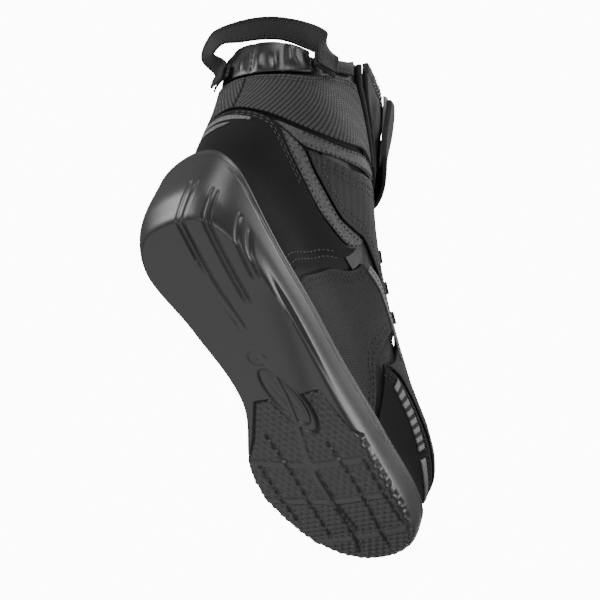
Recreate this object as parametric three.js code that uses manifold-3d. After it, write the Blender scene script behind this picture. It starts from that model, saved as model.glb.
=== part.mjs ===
// Right-foot riding boot with a cup sole, dial lacing, a shin flap and an ankle strap.
// Millimetres, +Z up, toe towards +X, inner (medial) side towards +Y.
import * as THREE from 'three';
import { mergeVertices } from 'three/addons/utils/BufferGeometryUtils.js';
import Module from 'manifold-3d';

const wasm = await Module();
wasm.setup();

// ---------------------------------------------------------------- driving dimensions
const SOLE_LENGTH = 300;        // heel end to toe end of the outsole
const SOLE_WIDTH = 92;          // across the ball of the foot
const SHAFT_HEIGHT = 155;       // ground to the top of the collar at the back

const CLEARANCE = 0.3;          // air between touching pieces
const SEAM_GAP = 0.45;          // half of the joint between neighbouring panels
const CUP_WALL = 3.0;           // thickness of the cup sole's side wall at its rim
const CUP_RIM_INSET = 1.2;      // how far the rim leans in from the widest outline
const CUP_RIM_HEIGHT = 25;      // rim above the ground along the sides
const HEEL_CUP_HEIGHT = 52;     // rim above the ground at the back of the heel
const HEEL_BEVEL = 9;           // how far the heel's ground edge sits ahead of its end
const TOE_SPRING = 15;          // rise of the sole under the toe tip
const OUTSOLE_FLOOR = 6;        // rubber under the midsole
const MIDSOLE_THICKNESS = 6.8;
const BOARD_THICKNESS = 2;
const SHANK_LENGTH = 110;
const SHANK_START = 45;         // from the heel end
const SHANK_WIDTH = 22;
const SHANK_THICKNESS = 1.8;
const FOOTBED_THICKNESS = 4.5;
const TREAD_DEPTH = 2.2;        // depth of the pocket that holds the forefoot tread
const BADGE_DEPTH = 1.2;        // depth of the pocket for the sole badge

const LINING_OUT = -0.9;        // bootie's outer face, measured from the pattern surface
const LINING = 2.2;             // bootie wall
const STIFFENER_IN = 0.0;       // stiffeners and foams fill the space behind the skins
const STIFFENER_OUT = 0.6;
const SKIN_IN = 1.6;            // outer panels
const SKIN_OUT = 2.8;
const TRIM_IN = 3.1;            // flat trims laid on the outer panels
const TRIM_OUT = 3.8;
const PAD_OUT = 5.2;            // padded leather at the back of the collar
const TONGUE_IN = 0.8;
const TONGUE_OUT = 3.2;
const FLAP_IN = 0.6;
const FLAP_OUT = 6.4;           // padded shin flap
const PLATE_IN = 6.8;
const PLATE_OUT = 8.6;
const STRAP_IN = 9.0;
const STRAP_OUT = 12.0;

const DIAL_RADIUS = 13;
const DIAL_HEIGHT = 11;
const SPOOL_RADIUS = 8.4;
const AXLE_RADIUS = 1.9;
const RUNNING_GAP = 0.35;       // around the spool, the knob and their axle
const LACE_RADIUS = 0.6;
const GUIDE_BORE = 1.1;
const GUIDE_SIZE = [8, 6, 3.4];
const GUIDE_LEAD = 2.4;         // straight cable outside each end of a guide
const LOOP_WIDTH = 16;          // webbing of the pull loop
const LOOP_END_LIFT = 9.2;      // the webbing's middle above the pattern surface at its outer end
const INNER_END_LIFT = 8.0;     // and at its inner end
const TAB_IN = 5.6;             // sewn tabs that hold the loop's two ends
const TAB_OUT = 7.1;
const INNER_TAB_OUT = 6.6;
const LOOP_THICKNESS = 1.8;
const BINDING_RADIUS = 1.8;
const BINDING_LIFT = 2.4;

// ---------------------------------------------------------------- the last: pattern surface
// The pattern below is drawn for a 300 mm sole, 92 mm ball and 155 mm shaft, then scaled.
const SCALE_X = SOLE_LENGTH / 300;
const SCALE_Y = SOLE_WIDTH / 92;
const SCALE_Z = SHAFT_HEIGHT / 155;
// Sixteen half-widths round each level, every 22.5 degrees from the back of the heel:
// the outer side first (negative Y), the toe at the ninth value, then the inner side.
const OUTLINE = [
  -4, -26, -36, -39, -38.5, -40, -37.5, -23.5, 5, 30.5, 46.5, 51.5, 29, 34, 43.5, 30,
];
// Levels of the upper: place of its back point and front point, then its half-widths.
const LEVELS = [
  {
    back: [12, 58],
    front: [286, 62],
    y: [1, -18.5, -27, -29.5, -31, -37, -37, -24, 6, 28, 40, 37, 26, 28.5, 29, 20],
  },
  {
    back: [11, 84],
    front: [252, 82],
    y: [2, -20, -30, -34, -33, -34, -30, -17, 4, 21, 31, 34, 32, 34, 30, 21],
  },
  {
    back: [11, 108],
    front: [198, 106],
    y: [1, -20, -31, -38, -38, -34.5, -27, -14.5, 2, 16, 28, 34.5, 38, 38, 31, 21],
  },
  {
    back: [8, 132],
    front: [152, 138],
    y: [0, -19, -33, -41, -42, -36, -25, -13, 0, 14, 25, 36, 42, 41, 33, 19],
  },
  {
    back: [-1, 155],
    front: [127, 172],
    y: [0, -15, -26, -33, -35, -31, -23, -12, 0, 12, 23, 31, 35, 33, 26, 15],
  },
  {
    back: [-4, 179],
    front: [117, 202],
    y: [0, -14, -25, -31, -33, -29, -22, -12, 0, 12, 22, 29, 33, 31, 25, 14],
  },
];
const COLUMNS = OUTLINE.length;
const COLUMN_STEP = 360 / COLUMNS;
const FEATHER_HEIGHT = 14;      // lowest level of the upper, above the ground
const TUCK_HEIGHT = 34;         // the upper leaves the cup at this level
const COLLAR_RISE = 8;          // the sides of the collar stand above the line back to front
const UPPER_INSET = CUP_RIM_INSET + CUP_WALL + CLEARANCE + SKIN_OUT + 0.8;
const HEEL_TUCK = [3.6, 0.9];   // the two lowest lines move in at the back, inside the bevel
const FLOOR_TUCK = 3;           // and the layers over the midsole with them

const radians = (degrees) => degrees * Math.PI / 180;

function catmull(p0, p1, p2, p3, t) {
  return 0.5 * (2 * p1 + (p2 - p0) * t + (2 * p0 - 5 * p1 + 4 * p2 - p3) * t * t
    + (3 * p1 - p0 - 3 * p2 + p3) * t * t * t);
}

function around(values, angle) {
  const n = values.length;
  const u = (((angle / COLUMN_STEP) % n) + n) % n;
  const i = Math.floor(u);
  const at = (k) => values[((k % n) + n) % n];
  return catmull(at(i - 1), at(i), at(i + 1), at(i + 2), u - i);
}

// A smooth curve through [angle, level] points; s runs from 0 to 1.
function along(points, s) {
  const last = points.length - 1;
  const u = Math.min(Math.max(s, 0), 1) * last;
  const i = Math.min(Math.floor(u), last - 1);
  const at = (k, c) => {
    if (k < 0) return 2 * points[0][c] - points[1][c];
    if (k > last) return 2 * points[last][c] - points[last - 1][c];
    return points[k][c];
  };
  return points[0].map((_, c) => catmull(at(i - 1, c), at(i, c), at(i + 1, c), at(i + 2, c), u - i));
}

function ground(x) {
  const start = 205 * SCALE_X;
  return x > start ? TOE_SPRING * ((x - start) / (SOLE_LENGTH - start)) ** 2 : 0;
}

// 1 at the back of the heel, falling smoothly to 0 sixty degrees away from it.
function heelLobe(angle) {
  const away = Math.abs(((angle + 540) % 360) - 180);
  return 0.5 * (1 + Math.cos(Math.PI * Math.min(away / 60, 1)));
}

function outline(angle, inset) {
  const at = (a) => [SOLE_LENGTH * (1 - Math.cos(radians(a))) / 2, around(OUTLINE, a) * SCALE_Y];
  const [x, y] = at(angle);
  const [x1, y1] = at(angle + 1);
  const [x0, y0] = at(angle - 1);
  const size = Math.hypot(x1 - x0, y1 - y0);
  return [x - inset * (y1 - y0) / size, y + inset * (x1 - x0) / size];
}

function makeNet() {
  const rows = [FEATHER_HEIGHT, TUCK_HEIGHT].map((height, level) => OUTLINE.map((_, c) => {
    const angle = c * COLUMN_STEP;
    const [x, y] = outline(angle, UPPER_INSET + HEEL_TUCK[level] * heelLobe(angle));
    return [x, y, height + ground(x)];
  }));
  LEVELS.forEach((level, index) => {
    const rise = index >= LEVELS.length - 2 ? COLLAR_RISE : 0;
    rows.push(level.y.map((y, c) => {
      const a = radians(c * COLUMN_STEP);
      const s = (1 - Math.cos(a)) / 2;
      const x = level.back[0] + (level.front[0] - level.back[0]) * s;
      const z = level.back[1] + (level.front[1] - level.back[1]) * s + rise * Math.sin(a) ** 2;
      return [x * SCALE_X, y * SCALE_Y, z * SCALE_Z];
    }));
  });
  return rows;
}
const NET = makeNet();

function surfacePoint(angle, level) {
  const last = NET.length - 1;
  const i = Math.min(Math.max(Math.floor(level), 0), last - 1);
  const row = (k, c) => {
    const at = (n) => around(NET[n].map((p) => p[c]), angle);
    if (k < 0) return 2 * at(0) - at(1);
    if (k > last) return 2 * at(last) - at(last - 1);
    return at(k);
  };
  return new THREE.Vector3(...[0, 1, 2].map((c) => (
    catmull(row(i - 1, c), row(i, c), row(i + 1, c), row(i + 2, c), level - i))));
}

function surfaceNormal(angle, level) {
  const across = surfacePoint(angle + 0.5, level).sub(surfacePoint(angle - 0.5, level));
  const up = surfacePoint(angle, level + 0.02).sub(surfacePoint(angle, level - 0.02));
  return across.cross(up).normalize();
}

function offsetPoint(angle, level, offset) {
  return surfacePoint(angle, level).addScaledVector(surfaceNormal(angle, level), offset);
}

// ---------------------------------------------------------------- mesh helpers
function material(color, roughness, metalness = 0) {
  return new THREE.MeshStandardMaterial({ color, roughness, metalness });
}

function signedVolume(points, triangles) {
  let total = 0;
  const cross = new THREE.Vector3();
  for (const [a, b, c] of triangles) {
    total += points[a].dot(cross.crossVectors(points[b], points[c]));
  }
  return total / 6;
}

// Builds a geometry from points and triangles, with its faces turned outwards.
function closedGeometry(points, triangles) {
  const outward = signedVolume(points, triangles) > 0;
  const index = triangles.flatMap(([a, b, c]) => (outward ? [a, b, c] : [a, c, b]));
  const geometry = new THREE.BufferGeometry();
  const values = points.flatMap((p) => p.toArray());
  geometry.setAttribute('position', new THREE.Float32BufferAttribute(values, 3));
  geometry.setIndex(index);
  return geometry;
}

// A stack of closed loops; the first and last loops are closed by strips across them.
function loftLoops(loops) {
  const n = loops[0].length;
  const points = loops.flat();
  const triangles = [];
  for (let k = 0; k < loops.length - 1; k += 1) {
    for (let i = 0; i < n; i += 1) {
      const j = (i + 1) % n;
      const base = k * n;
      triangles.push([base + i, base + j, base + n + j], [base + i, base + n + j, base + n + i]);
    }
  }
  const capped = (base, flip) => {
    for (let i = 0; i < n / 2; i += 1) {
      const strip = [base + i, base + i + 1, base + ((n - i - 1) % n), base + ((n - i) % n)];
      const parts = [[strip[0], strip[1], strip[2]], [strip[0], strip[2], strip[3]]];
      parts.filter(([a, b, c]) => a !== b && b !== c && a !== c)
        .forEach(([a, b, c]) => triangles.push(flip ? [a, c, b] : [a, b, c]));
    }
  };
  capped(0, true);
  capped((loops.length - 1) * n, false);
  return closedGeometry(points, triangles);
}

function solidGrid(rows, innerRows) {
  const height = rows.length;
  const width = rows[0].length;
  const points = [...rows.flat(), ...innerRows.flat()];
  const half = height * width;
  const triangles = [];
  const quad = (a, b, c, d) => triangles.push([a, b, c], [a, c, d]);
  for (let i = 0; i < height - 1; i += 1) {
    for (let j = 0; j < width - 1; j += 1) {
      const a = i * width + j;
      quad(a, a + 1, a + width + 1, a + width);
      quad(half + a, half + a + width, half + a + width + 1, half + a + 1);
    }
  }
  for (let j = 0; j < width - 1; j += 1) {
    const top = (height - 1) * width + j;
    quad(j + 1, j, half + j, half + j + 1);
    quad(top, top + 1, half + top + 1, half + top);
  }
  for (let i = 0; i < height - 1; i += 1) {
    const left = i * width;
    const right = left + width - 1;
    quad(left, left + width, half + left + width, half + left);
    quad(right + width, right, half + right, half + right + width);
  }
  return closedGeometry(points, triangles);
}

function curveLength(points, samples = 24) {
  let total = 0;
  let before = null;
  for (let k = 0; k <= samples; k += 1) {
    const [angle, level] = along(points, k / samples);
    const here = surfacePoint(angle, level);
    if (before) total += here.distanceTo(before);
    before = here;
  }
  return total;
}

const mirrored = (points) => points.map(([angle, level]) => [360 - angle, level]);

// A curved panel on the pattern surface, ruled between a lower and an upper edge.
function panel({ lower, upper, inner, outer, steps, rows, gap = SEAM_GAP, medial = false }) {
  const low = medial ? mirrored(lower) : lower;
  const high = medial ? mirrored(upper) : upper;
  const length = Math.min(curveLength(low), curveLength(high));
  const middle = [along(low, 0.5), along(high, 0.5)];
  const endTrim = gap / length;
  const sideTrim = gap / curveLength(middle, 2);
  const grid = (offset) => {
    const lines = [];
    for (let r = 0; r <= rows; r += 1) {
      const across = sideTrim + (1 - 2 * sideTrim) * (r / rows);
      const line = [];
      for (let s = 0; s <= steps; s += 1) {
        const t = endTrim + (1 - 2 * endTrim) * (s / steps);
        const a = along(low, t);
        const b = along(high, t);
        line.push(offsetPoint(a[0] + (b[0] - a[0]) * across, a[1] + (b[1] - a[1]) * across, offset));
      }
      lines.push(line);
    }
    return lines;
  };
  return solidGrid(grid(outer), grid(inner));
}

function tube(points, radius, steps, sides = 8) {
  const circle = new THREE.Shape();
  for (let k = 0; k < sides; k += 1) {
    const angle = 2 * Math.PI * k / sides;
    const place = [radius * Math.cos(angle), radius * Math.sin(angle)];
    if (k === 0) circle.moveTo(...place);
    else circle.lineTo(...place);
  }
  const path = new THREE.CatmullRomCurve3(points);
  return new THREE.ExtrudeGeometry(circle, { steps, extrudePath: path, bevelEnabled: false });
}

function toManifold(geometry) {
  const plain = geometry.clone();
  plain.deleteAttribute('normal');
  plain.deleteAttribute('uv');
  const merged = mergeVertices(plain, 1e-4);
  return new wasm.Manifold(new wasm.Mesh({
    numProp: 3,
    vertProperties: new Float32Array(merged.attributes.position.array),
    triVerts: new Uint32Array(merged.index.array),
  }));
}

function fromManifold(solid) {
  const mesh = solid.getMesh();
  const geometry = new THREE.BufferGeometry();
  const values = new Float32Array(mesh.vertProperties);
  geometry.setAttribute('position', new THREE.BufferAttribute(values, 3));
  geometry.setIndex([...mesh.triVerts]);
  return geometry;
}

// ---------------------------------------------------------------- sole unit
const LOOP_POINTS = 48;

function loop(place) {
  const angles = Array.from({ length: LOOP_POINTS }, (_, i) => 360 * i / LOOP_POINTS);
  return angles.map((angle) => new THREE.Vector3(...place(angle)));
}

function soleLoop(inset, height) {
  return loop((angle) => {
    const [x, y] = outline(angle, typeof inset === 'function' ? inset(angle) : inset);
    return [x, y, typeof height === 'function' ? height(angle, x) : ground(x) + height];
  });
}

function rimHeight(angle, x) {
  return CUP_RIM_HEIGHT + 0.9 * ground(x) + (HEEL_CUP_HEIGHT - CUP_RIM_HEIGHT) * heelLobe(angle);
}

const BADGE = { x: 150, y: -4, length: 47, width: 17, turn: -13.5 };

// Stations of the forefoot tread: place along the foot, outer edge, inner edge.
const TREAD_STATIONS = [
  [151, -27, 16], [163, -29.5, 24], [176, -32, 30.5], [190, -34, 37.5], [205, -35, 42.5], [220, -35, 44],
  [235, -33.5, 42.5], [250, -30.5, 38.5], [262, -26.5, 33], [273, -19.5, 25.5], [282, -10, 16],
];

function treadBlock(grow, bottom, top) {
  const stations = TREAD_STATIONS.map(([x, low, high]) => [x * SCALE_X, low * SCALE_Y, high * SCALE_Y]);
  const first = stations[0];
  const last = stations[stations.length - 1];
  const heelEnd = [first[0] - grow, first[1], first[2]];
  const toeEnd = [last[0] + grow, last[1], last[2]];
  const ends = [heelEnd, ...stations.slice(1, -1), toeEnd];
  const outer = ends.map(([x, low]) => [x, low - grow]);
  const inner = ends.map(([x, , high]) => [x, high + grow]).reverse();
  const ring = [...outer, ...inner];
  const lift = (offset) => ring.map(([x, y]) => new THREE.Vector3(x, y, ground(x) + offset));
  return ladderBlock(lift(bottom), lift(top));
}

// Two matching loops whose points pair up across the middle.
function ladderBlock(low, high) {
  const n = low.length;
  const points = [...low, ...high];
  const triangles = [];
  for (let i = 0; i < n; i += 1) {
    const j = (i + 1) % n;
    triangles.push([i, j, n + j], [i, n + j, n + i]);
  }
  for (let i = 0; i < n / 2 - 1; i += 1) {
    const across = [i, i + 1, n - 2 - i, n - 1 - i];
    triangles.push([across[0], across[2], across[1]], [across[0], across[3], across[2]]);
    const above = across.map((index) => n + index);
    triangles.push([above[0], above[1], above[2]], [above[0], above[2], above[3]]);
  }
  return closedGeometry(points, triangles);
}

function badgeBlock(badge, grow, bottom, top) {
  const shape = new THREE.Shape();
  shape.absellipse(0, 0, badge.length / 2 + grow, badge.width / 2 + grow, 0, 2 * Math.PI);
  const settings = { depth: top - bottom, bevelEnabled: false, curveSegments: 14 };
  const geometry = new THREE.ExtrudeGeometry(shape, settings);
  geometry.translate(0, 0, bottom);
  geometry.rotateZ(radians(badge.turn));
  geometry.translate(badge.x * SCALE_X, badge.y * SCALE_Y, 0);
  return geometry;
}

// The tread's back edge is notched round the badge, with a wall of the outsole between them.
const BADGE_WALL = 1.5;

function makeTread() {
  const block = toManifold(treadBlock(0, 0, TREAD_DEPTH - CLEARANCE));
  const notch = toManifold(badgeBlock(BADGE, BADGE_WALL + 2 * CLEARANCE, -1, TREAD_DEPTH + 1));
  return fromManifold(block.subtract(notch));
}

function makeTreadPocket() {
  const block = toManifold(treadBlock(CLEARANCE, -1, TREAD_DEPTH));
  const notch = toManifold(badgeBlock(BADGE, BADGE_WALL + CLEARANCE, -2, TREAD_DEPTH + 1));
  return block.subtract(notch);
}

function makeOutsole() {
  const wall = CUP_RIM_INSET + CUP_WALL;
  const cup = loftLoops([
    soleLoop((a) => 5 + HEEL_BEVEL * heelLobe(a), 0),
    soleLoop((a) => 1.4 + 5.6 * heelLobe(a), (a, x) => ground(x) + 3.5 + 6 * heelLobe(a)),
    soleLoop((a) => 0.2 + 2.6 * heelLobe(a), (a, x) => ground(x) + 11 + 11 * heelLobe(a)),
    soleLoop(CUP_RIM_INSET, rimHeight),
    soleLoop(wall, rimHeight),
    soleLoop((a) => wall + 1.7 * heelLobe(a), OUTSOLE_FLOOR + 16),
    soleLoop((a) => wall + 5.6 * heelLobe(a), OUTSOLE_FLOOR + 6),
    soleLoop((a) => wall + 0.8 + 8.6 * heelLobe(a), OUTSOLE_FLOOR),
  ]);
  const badgePocket = toManifold(badgeBlock(BADGE, CLEARANCE, -1, BADGE_DEPTH));
  return fromManifold(toManifold(cup).subtract(makeTreadPocket()).subtract(badgePocket));
}

const solePlate = (inset, bottom, top) => loftLoops([soleLoop(inset, bottom), soleLoop(inset, top)]);

const MIDSOLE_BOTTOM = OUTSOLE_FLOOR + CLEARANCE + 0.1;
const MIDSOLE_TOP = MIDSOLE_BOTTOM + MIDSOLE_THICKNESS;
const BOARD_BOTTOM = MIDSOLE_TOP + CLEARANCE;
const BOARD_TOP = BOARD_BOTTOM + BOARD_THICKNESS;
const BOOTIE_FLOOR = BOARD_TOP + CLEARANCE;
const midsoleInset = (angle) => CUP_RIM_INSET + CUP_WALL + 1.6 + 8.6 * heelLobe(angle);
const floorInset = (extra) => (angle) => UPPER_INSET + extra + FLOOR_TUCK * heelLobe(angle);

// A box for the shank; its pocket is the same box grown by the clearance and open at the top.
function shankBox(grow, open) {
  const height = SHANK_THICKNESS + 2 * grow + open;
  const geometry = new THREE.BoxGeometry(SHANK_LENGTH + 2 * grow, SHANK_WIDTH + 2 * grow, height);
  const bottom = MIDSOLE_TOP - CLEARANCE - SHANK_THICKNESS - grow;
  geometry.translate(SHANK_START * SCALE_X + SHANK_LENGTH / 2, 0, bottom + height / 2);
  return geometry;
}

function makeMidsole() {
  const plate = toManifold(solePlate(midsoleInset, MIDSOLE_BOTTOM, MIDSOLE_TOP));
  return fromManifold(plate.subtract(toManifold(shankBox(CLEARANCE, MIDSOLE_THICKNESS))));
}

// ---------------------------------------------------------------- bootie
// Level of the bootie's top edge: low at the throat, high at the sides.
const BOOTIE_TOP = [
  5.85, 5.95, 6.15, 6.3, 6.2, 5.9, 5.6, 5.45, 5.4, 5.45, 5.6, 5.9, 6.2, 6.3, 6.15, 5.95,
];
const BOOTIE_BANDS = 9;

function makeBootie() {
  const level = (angle, k) => {
    const share = k / BOOTIE_BANDS;
    return 0.12 + (around(BOOTIE_TOP, angle) - 0.12) * share;
  };
  const wallLoop = (k, offset) => loop((angle) => offsetPoint(angle, level(angle, k), offset).toArray());
  const flat = (inset, height) => soleLoop(inset, height);
  const loops = [flat(floorInset(0.5), BOOTIE_FLOOR)];
  for (let k = 1; k <= BOOTIE_BANDS; k += 1) loops.push(wallLoop(k, LINING_OUT));
  for (let k = BOOTIE_BANDS; k >= 1; k -= 1) loops.push(wallLoop(k, LINING_OUT - LINING));
  loops.push(flat(floorInset(LINING + 0.5), BOOTIE_FLOOR + LINING));
  return loftLoops(loops);
}

// ---------------------------------------------------------------- seams of the upper, [angle, level]
const FEATHER = 0.3;
const ARM_TOP = [[26, 3.75], [44, 4.12], [70, 4.65], [95, 5.2], [120, 5.5]];
const ARM_LOW = [[34, 3.72], [48, 3.82], [66, 4.3], [88, 4.8], [118, 5.35]];
const LOWER_ARM_REAR = [[30, 3.66], [40, 3.3], [52, 3.05], [64, 2.95], [80, 3.2], [92, 3.65]];
const LOWER_ARM_FRONT = [[38, 3.7], [48, 3.72], [57, 3.5], [74, 3.42], [88, 3.68], [95, 3.85]];
const MESH_LOW = [[0, 3.95], [22, 3.88], [44, 4.2], [70, 4.74], [94, 5.27], [115, 5.52]];
const MESH_TOP = [[0, 5.1], [20, 5.2], [44, 5.5], [60, 5.88], [74, 6.22], [85, 6.42]];
const QUARTER_REAR = [[66, FEATHER], [67.5, 1.3], [73, 2.2], [83, 2.8], [95, 3.5]];
const QUARTER_FRONT = [[112, FEATHER], [106, 1.25], [101, 1.9], [108, 2.75], [124, 3.62]];
const BINDING_LINE = [[84.5, 7.02], [87, 6.72], [91, 6.46], [99, 6.2], [109, 5.9], [119.5, 5.6]];
const FLAP_EDGE = [[127, 5.66], [116, 5.95], [106, 6.22], [97.5, 6.5], [92, 6.85], [90, 7.3]];
const TONGUE_EDGE = [[152, 3.7], [151.5, 4.1], [151, 4.5], [147, 4.85], [139, 5.16], [132, 5.36], [129, 5.5]];

const skin = (name, options) => ({ name, inner: SKIN_IN, outer: SKIN_OUT, ...options });

const LEATHER = { color: 0x16161a, roughness: 0.55 };
const SUEDE = { color: 0x1c1c1f, roughness: 0.95 };
const MESH_CLOTH = { color: 0x2c2c30, roughness: 0.9 };
const REFLECTOR = { color: 0x5c5c60, roughness: 0.5 };
const TPU = { color: 0x636366, roughness: 0.45 };
const FOAM = { color: 0x3a3a3c, roughness: 0.95 };
const BOARD = { color: 0x8a8072, roughness: 0.9 };
const STEEL = { color: 0x9a9c9f, roughness: 0.4, metalness: 0.9 };
const RUBBER = { color: 0x232326, roughness: 0.45 };

const SIDE_PANELS = [
  skin('collar_mesh', { lower: MESH_LOW, upper: MESH_TOP, steps: 12, rows: 4, finish: MESH_CLOTH }),
  skin('reflector_upper_arm', { lower: ARM_LOW, upper: ARM_TOP, steps: 11, rows: 1, finish: REFLECTOR }),
  skin('reflector_lower_arm', {
    lower: LOWER_ARM_REAR,
    upper: LOWER_ARM_FRONT,
    steps: 11,
    rows: 1,
    finish: REFLECTOR,
  }),
  skin('instep_overlay', {
    lower: [[50, 3.78], [58, 3.56], [74, 3.48], [88, 3.74], [100, 3.92], [126, 3.8], [147, 3.75]],
    upper: [[52, 3.88], [66, 4.22], [80, 4.55], [98, 4.95], [118, 5.28], [134, 5.14], [147, 4.5]],
    steps: 14,
    rows: 3,
    finish: LEATHER,
  }),
  skin('quarter_mesh', { lower: QUARTER_REAR, upper: QUARTER_FRONT, steps: 9, rows: 5, finish: MESH_CLOTH }),
  skin('toe_side_panel', {
    lower: [[108, 1.35], [114, FEATHER], [128, FEATHER], [144, FEATHER], [159, FEATHER]],
    upper: [[103.5, 2.0], [114, 2.2], [130, 1.95], [145, 1.7], [159, 1.5]],
    steps: 10,
    rows: 4,
    finish: SUEDE,
  }),
  skin('eyestay_stripe', {
    inner: TRIM_IN,
    outer: TRIM_OUT,
    lower: [[97, 3.44], [108, 3.5], [116, 3.3], [119, 2.9]],
    upper: [[99, 3.62], [110, 3.72], [120, 3.5], [121, 2.9]],
    steps: 10,
    rows: 1,
    finish: TPU,
  }),
  skin('toe_bar_strip', {
    inner: TRIM_IN,
    outer: TRIM_OUT,
    lower: [[109, 1.8], [116, 1.72], [123, 1.6], [130, 1.45]],
    upper: [[110, 2.1], [118, 1.98], [125, 1.84], [132, 1.68]],
    steps: 10,
    rows: 1,
    finish: REFLECTOR,
  }),
  skin('toe_strip', {
    inner: TRIM_IN,
    outer: TRIM_OUT,
    lower: [[132, 1.4], [142, 1.25], [156, 1.12]],
    upper: [[134, 1.6], [144, 1.45], [157, 1.34]],
    steps: 8,
    rows: 1,
    finish: TPU,
  }),
  skin('ankle_protector', {
    inner: STIFFENER_IN,
    outer: STIFFENER_OUT,
    lower: [[58, 3.2], [75, 3.05], [92, 3.1], [108, 3.3]],
    upper: [[60, 4.3], [76, 4.6], [92, 4.6], [108, 4.4]],
    steps: 8,
    rows: 4,
    finish: TPU,
  }),
  skin('collar_foam', {
    inner: STIFFENER_IN,
    outer: STIFFENER_OUT,
    lower: [[16, 4.4], [40, 4.7], [65, 4.9], [92, 5.3]],
    upper: [[16, 5.6], [40, 5.8], [65, 6.0], [92, 6.0]],
    steps: 9,
    rows: 3,
    finish: FOAM,
  }),
  skin('collar_rim', {
    outer: 4.4,
    lower: [[60, 5.97], [67, 6.14], [75, 6.33], [82.5, 6.55]],
    upper: [[60, 6.36], [66, 6.52], [73, 6.72], [79, 6.98]],
    steps: 8,
    rows: 2,
    finish: LEATHER,
  }),
];

// Panels that wrap round the middle line: the outer half, then its mirror image.
const wrapBack = (half) => [...mirrored(half).reverse().map(([a, v]) => [a - 360, v]), ...half.slice(1)];
const wrapFront = (half) => [...half, ...mirrored(half).reverse()];

const CENTRE_PANELS = [
  skin('heel_counter_panel', {
    lower: wrapBack([
      [0, FEATHER], [22, FEATHER], [44, FEATHER], [62, FEATHER], [63.5, 1.3], [70, 2.3], [80, 2.9],
    ]),
    upper: wrapBack([[0, 3.85], [26, 3.7], [40, 3.26], [52, 3.02], [64, 2.92], [78, 3.1], [89, 3.5]]),
    steps: 28,
    rows: 6,
    finish: SUEDE,
  }),
  skin('heel_stiffener', {
    inner: STIFFENER_IN,
    outer: STIFFENER_OUT,
    lower: wrapBack([[0, 0.5], [30, 0.5], [56, 0.5]]),
    upper: wrapBack([[0, 3.1], [30, 2.8], [56, 2.3]]),
    steps: 24,
    rows: 6,
    finish: BOARD,
  }),
  skin('achilles_pad', {
    outer: PAD_OUT,
    lower: wrapBack([[0, 5.16], [20, 5.26], [36, 5.45], [48, 5.66]]),
    upper: wrapBack([[0, 6.1], [20, 6.15], [34, 6.2], [46, 6.2]]),
    steps: 16,
    rows: 3,
    finish: LEATHER,
  }),
  skin('vamp', {
    lower: wrapFront([[106, 2.12], [115, 2.28], [130, 2.03], [145, 1.78], [162, 1.58], [180, 1.54]]),
    upper: wrapFront([[127, 3.66], [132, 3.68], [140, 3.68], [150, 3.66], [164, 3.6], [180, 3.58]]),
    steps: 24,
    rows: 6,
    finish: MESH_CLOTH,
  }),
  skin('toe_cap', {
    lower: wrapFront([[161, FEATHER], [170, FEATHER], [180, FEATHER]]),
    upper: wrapFront([[161, 1.5], [170, 1.46], [180, 1.46]]),
    steps: 8,
    rows: 3,
    finish: SUEDE,
  }),
  skin('toe_puff', {
    inner: STIFFENER_IN,
    outer: STIFFENER_OUT,
    lower: wrapFront([[138, 0.5], [158, 0.5], [180, 0.5]]),
    upper: wrapFront([[138, 1.9], [158, 1.9], [180, 1.9]]),
    steps: 18,
    rows: 6,
    finish: BOARD,
  }),
  skin('tongue', {
    inner: TONGUE_IN,
    outer: TONGUE_OUT,
    lower: TONGUE_EDGE,
    upper: mirrored(TONGUE_EDGE),
    steps: 8,
    rows: 8,
    finish: MESH_CLOTH,
  }),
  skin('shin_flap', {
    inner: FLAP_IN,
    outer: FLAP_OUT,
    lower: FLAP_EDGE,
    upper: mirrored(FLAP_EDGE),
    steps: 7,
    rows: 14,
    finish: LEATHER,
  }),
];

const FLAP_PANELS = [
  skin('shin_plate', {
    inner: PLATE_IN,
    outer: PLATE_OUT,
    lower: [[131, 6.15], [136, 6.05], [141, 6.1]],
    upper: [[113, 7.15], [122, 7.35], [134, 7.3]],
    steps: 6,
    rows: 6,
    finish: TPU,
  }),
  skin('strap_anchor', {
    inner: PLATE_IN,
    outer: PLATE_OUT,
    lower: [[222, 5.95], [230, 6.0], [238, 6.1]],
    upper: [[226, 7.15], [234, 7.15], [242, 7.1]],
    steps: 5,
    rows: 5,
    finish: LEATHER,
  }),
  skin('ankle_strap', {
    inner: STRAP_IN,
    outer: STRAP_OUT,
    lower: [[122, 5.85], [134, 5.72], [155, 5.68], [180, 5.7], [205, 5.75], [226, 5.85], [238, 6.0]],
    upper: [[118, 7.2], [132, 7.4], [155, 7.35], [180, 7.25], [205, 7.2], [228, 7.15], [242, 7.1]],
    steps: 16,
    rows: 3,
    finish: LEATHER,
  }),
];

const LOOP_TABS = [
  skin('loop_tab_lateral', {
    inner: TAB_IN,
    outer: TAB_OUT,
    lower: [[47, 5.72], [55, 5.74], [63, 5.77]],
    upper: [[47, 6.16], [55, 6.18], [63, 6.22]],
    steps: 5,
    rows: 3,
    finish: LEATHER,
  }),
  skin('loop_tab_medial', {
    inner: TAB_IN,
    outer: INNER_TAB_OUT,
    lower: [[327, 5.2], [337, 5.2], [347, 5.2]],
    upper: [[327, 5.6], [337, 5.6], [347, 5.6]],
    steps: 5,
    rows: 3,
    finish: LEATHER,
  }),
];

const HEEL_MARKS = [
  {
    name: 'heel_mark_upper',
    lower: [[-13, 3.34], [0, 3.42], [15, 3.46]],
    upper: [[-15, 3.5], [0, 3.6], [15, 3.54]],
  },
  {
    name: 'heel_mark_lower',
    lower: [[-12, 2.98], [-4, 3.08], [3, 3.2]],
    upper: [[-13, 3.2], [-3, 3.26], [6, 3.3]],
  },
];

// ---------------------------------------------------------------- dial lacing
const DIAL_PLACE = { angle: 181, level: 5.04 };

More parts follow.
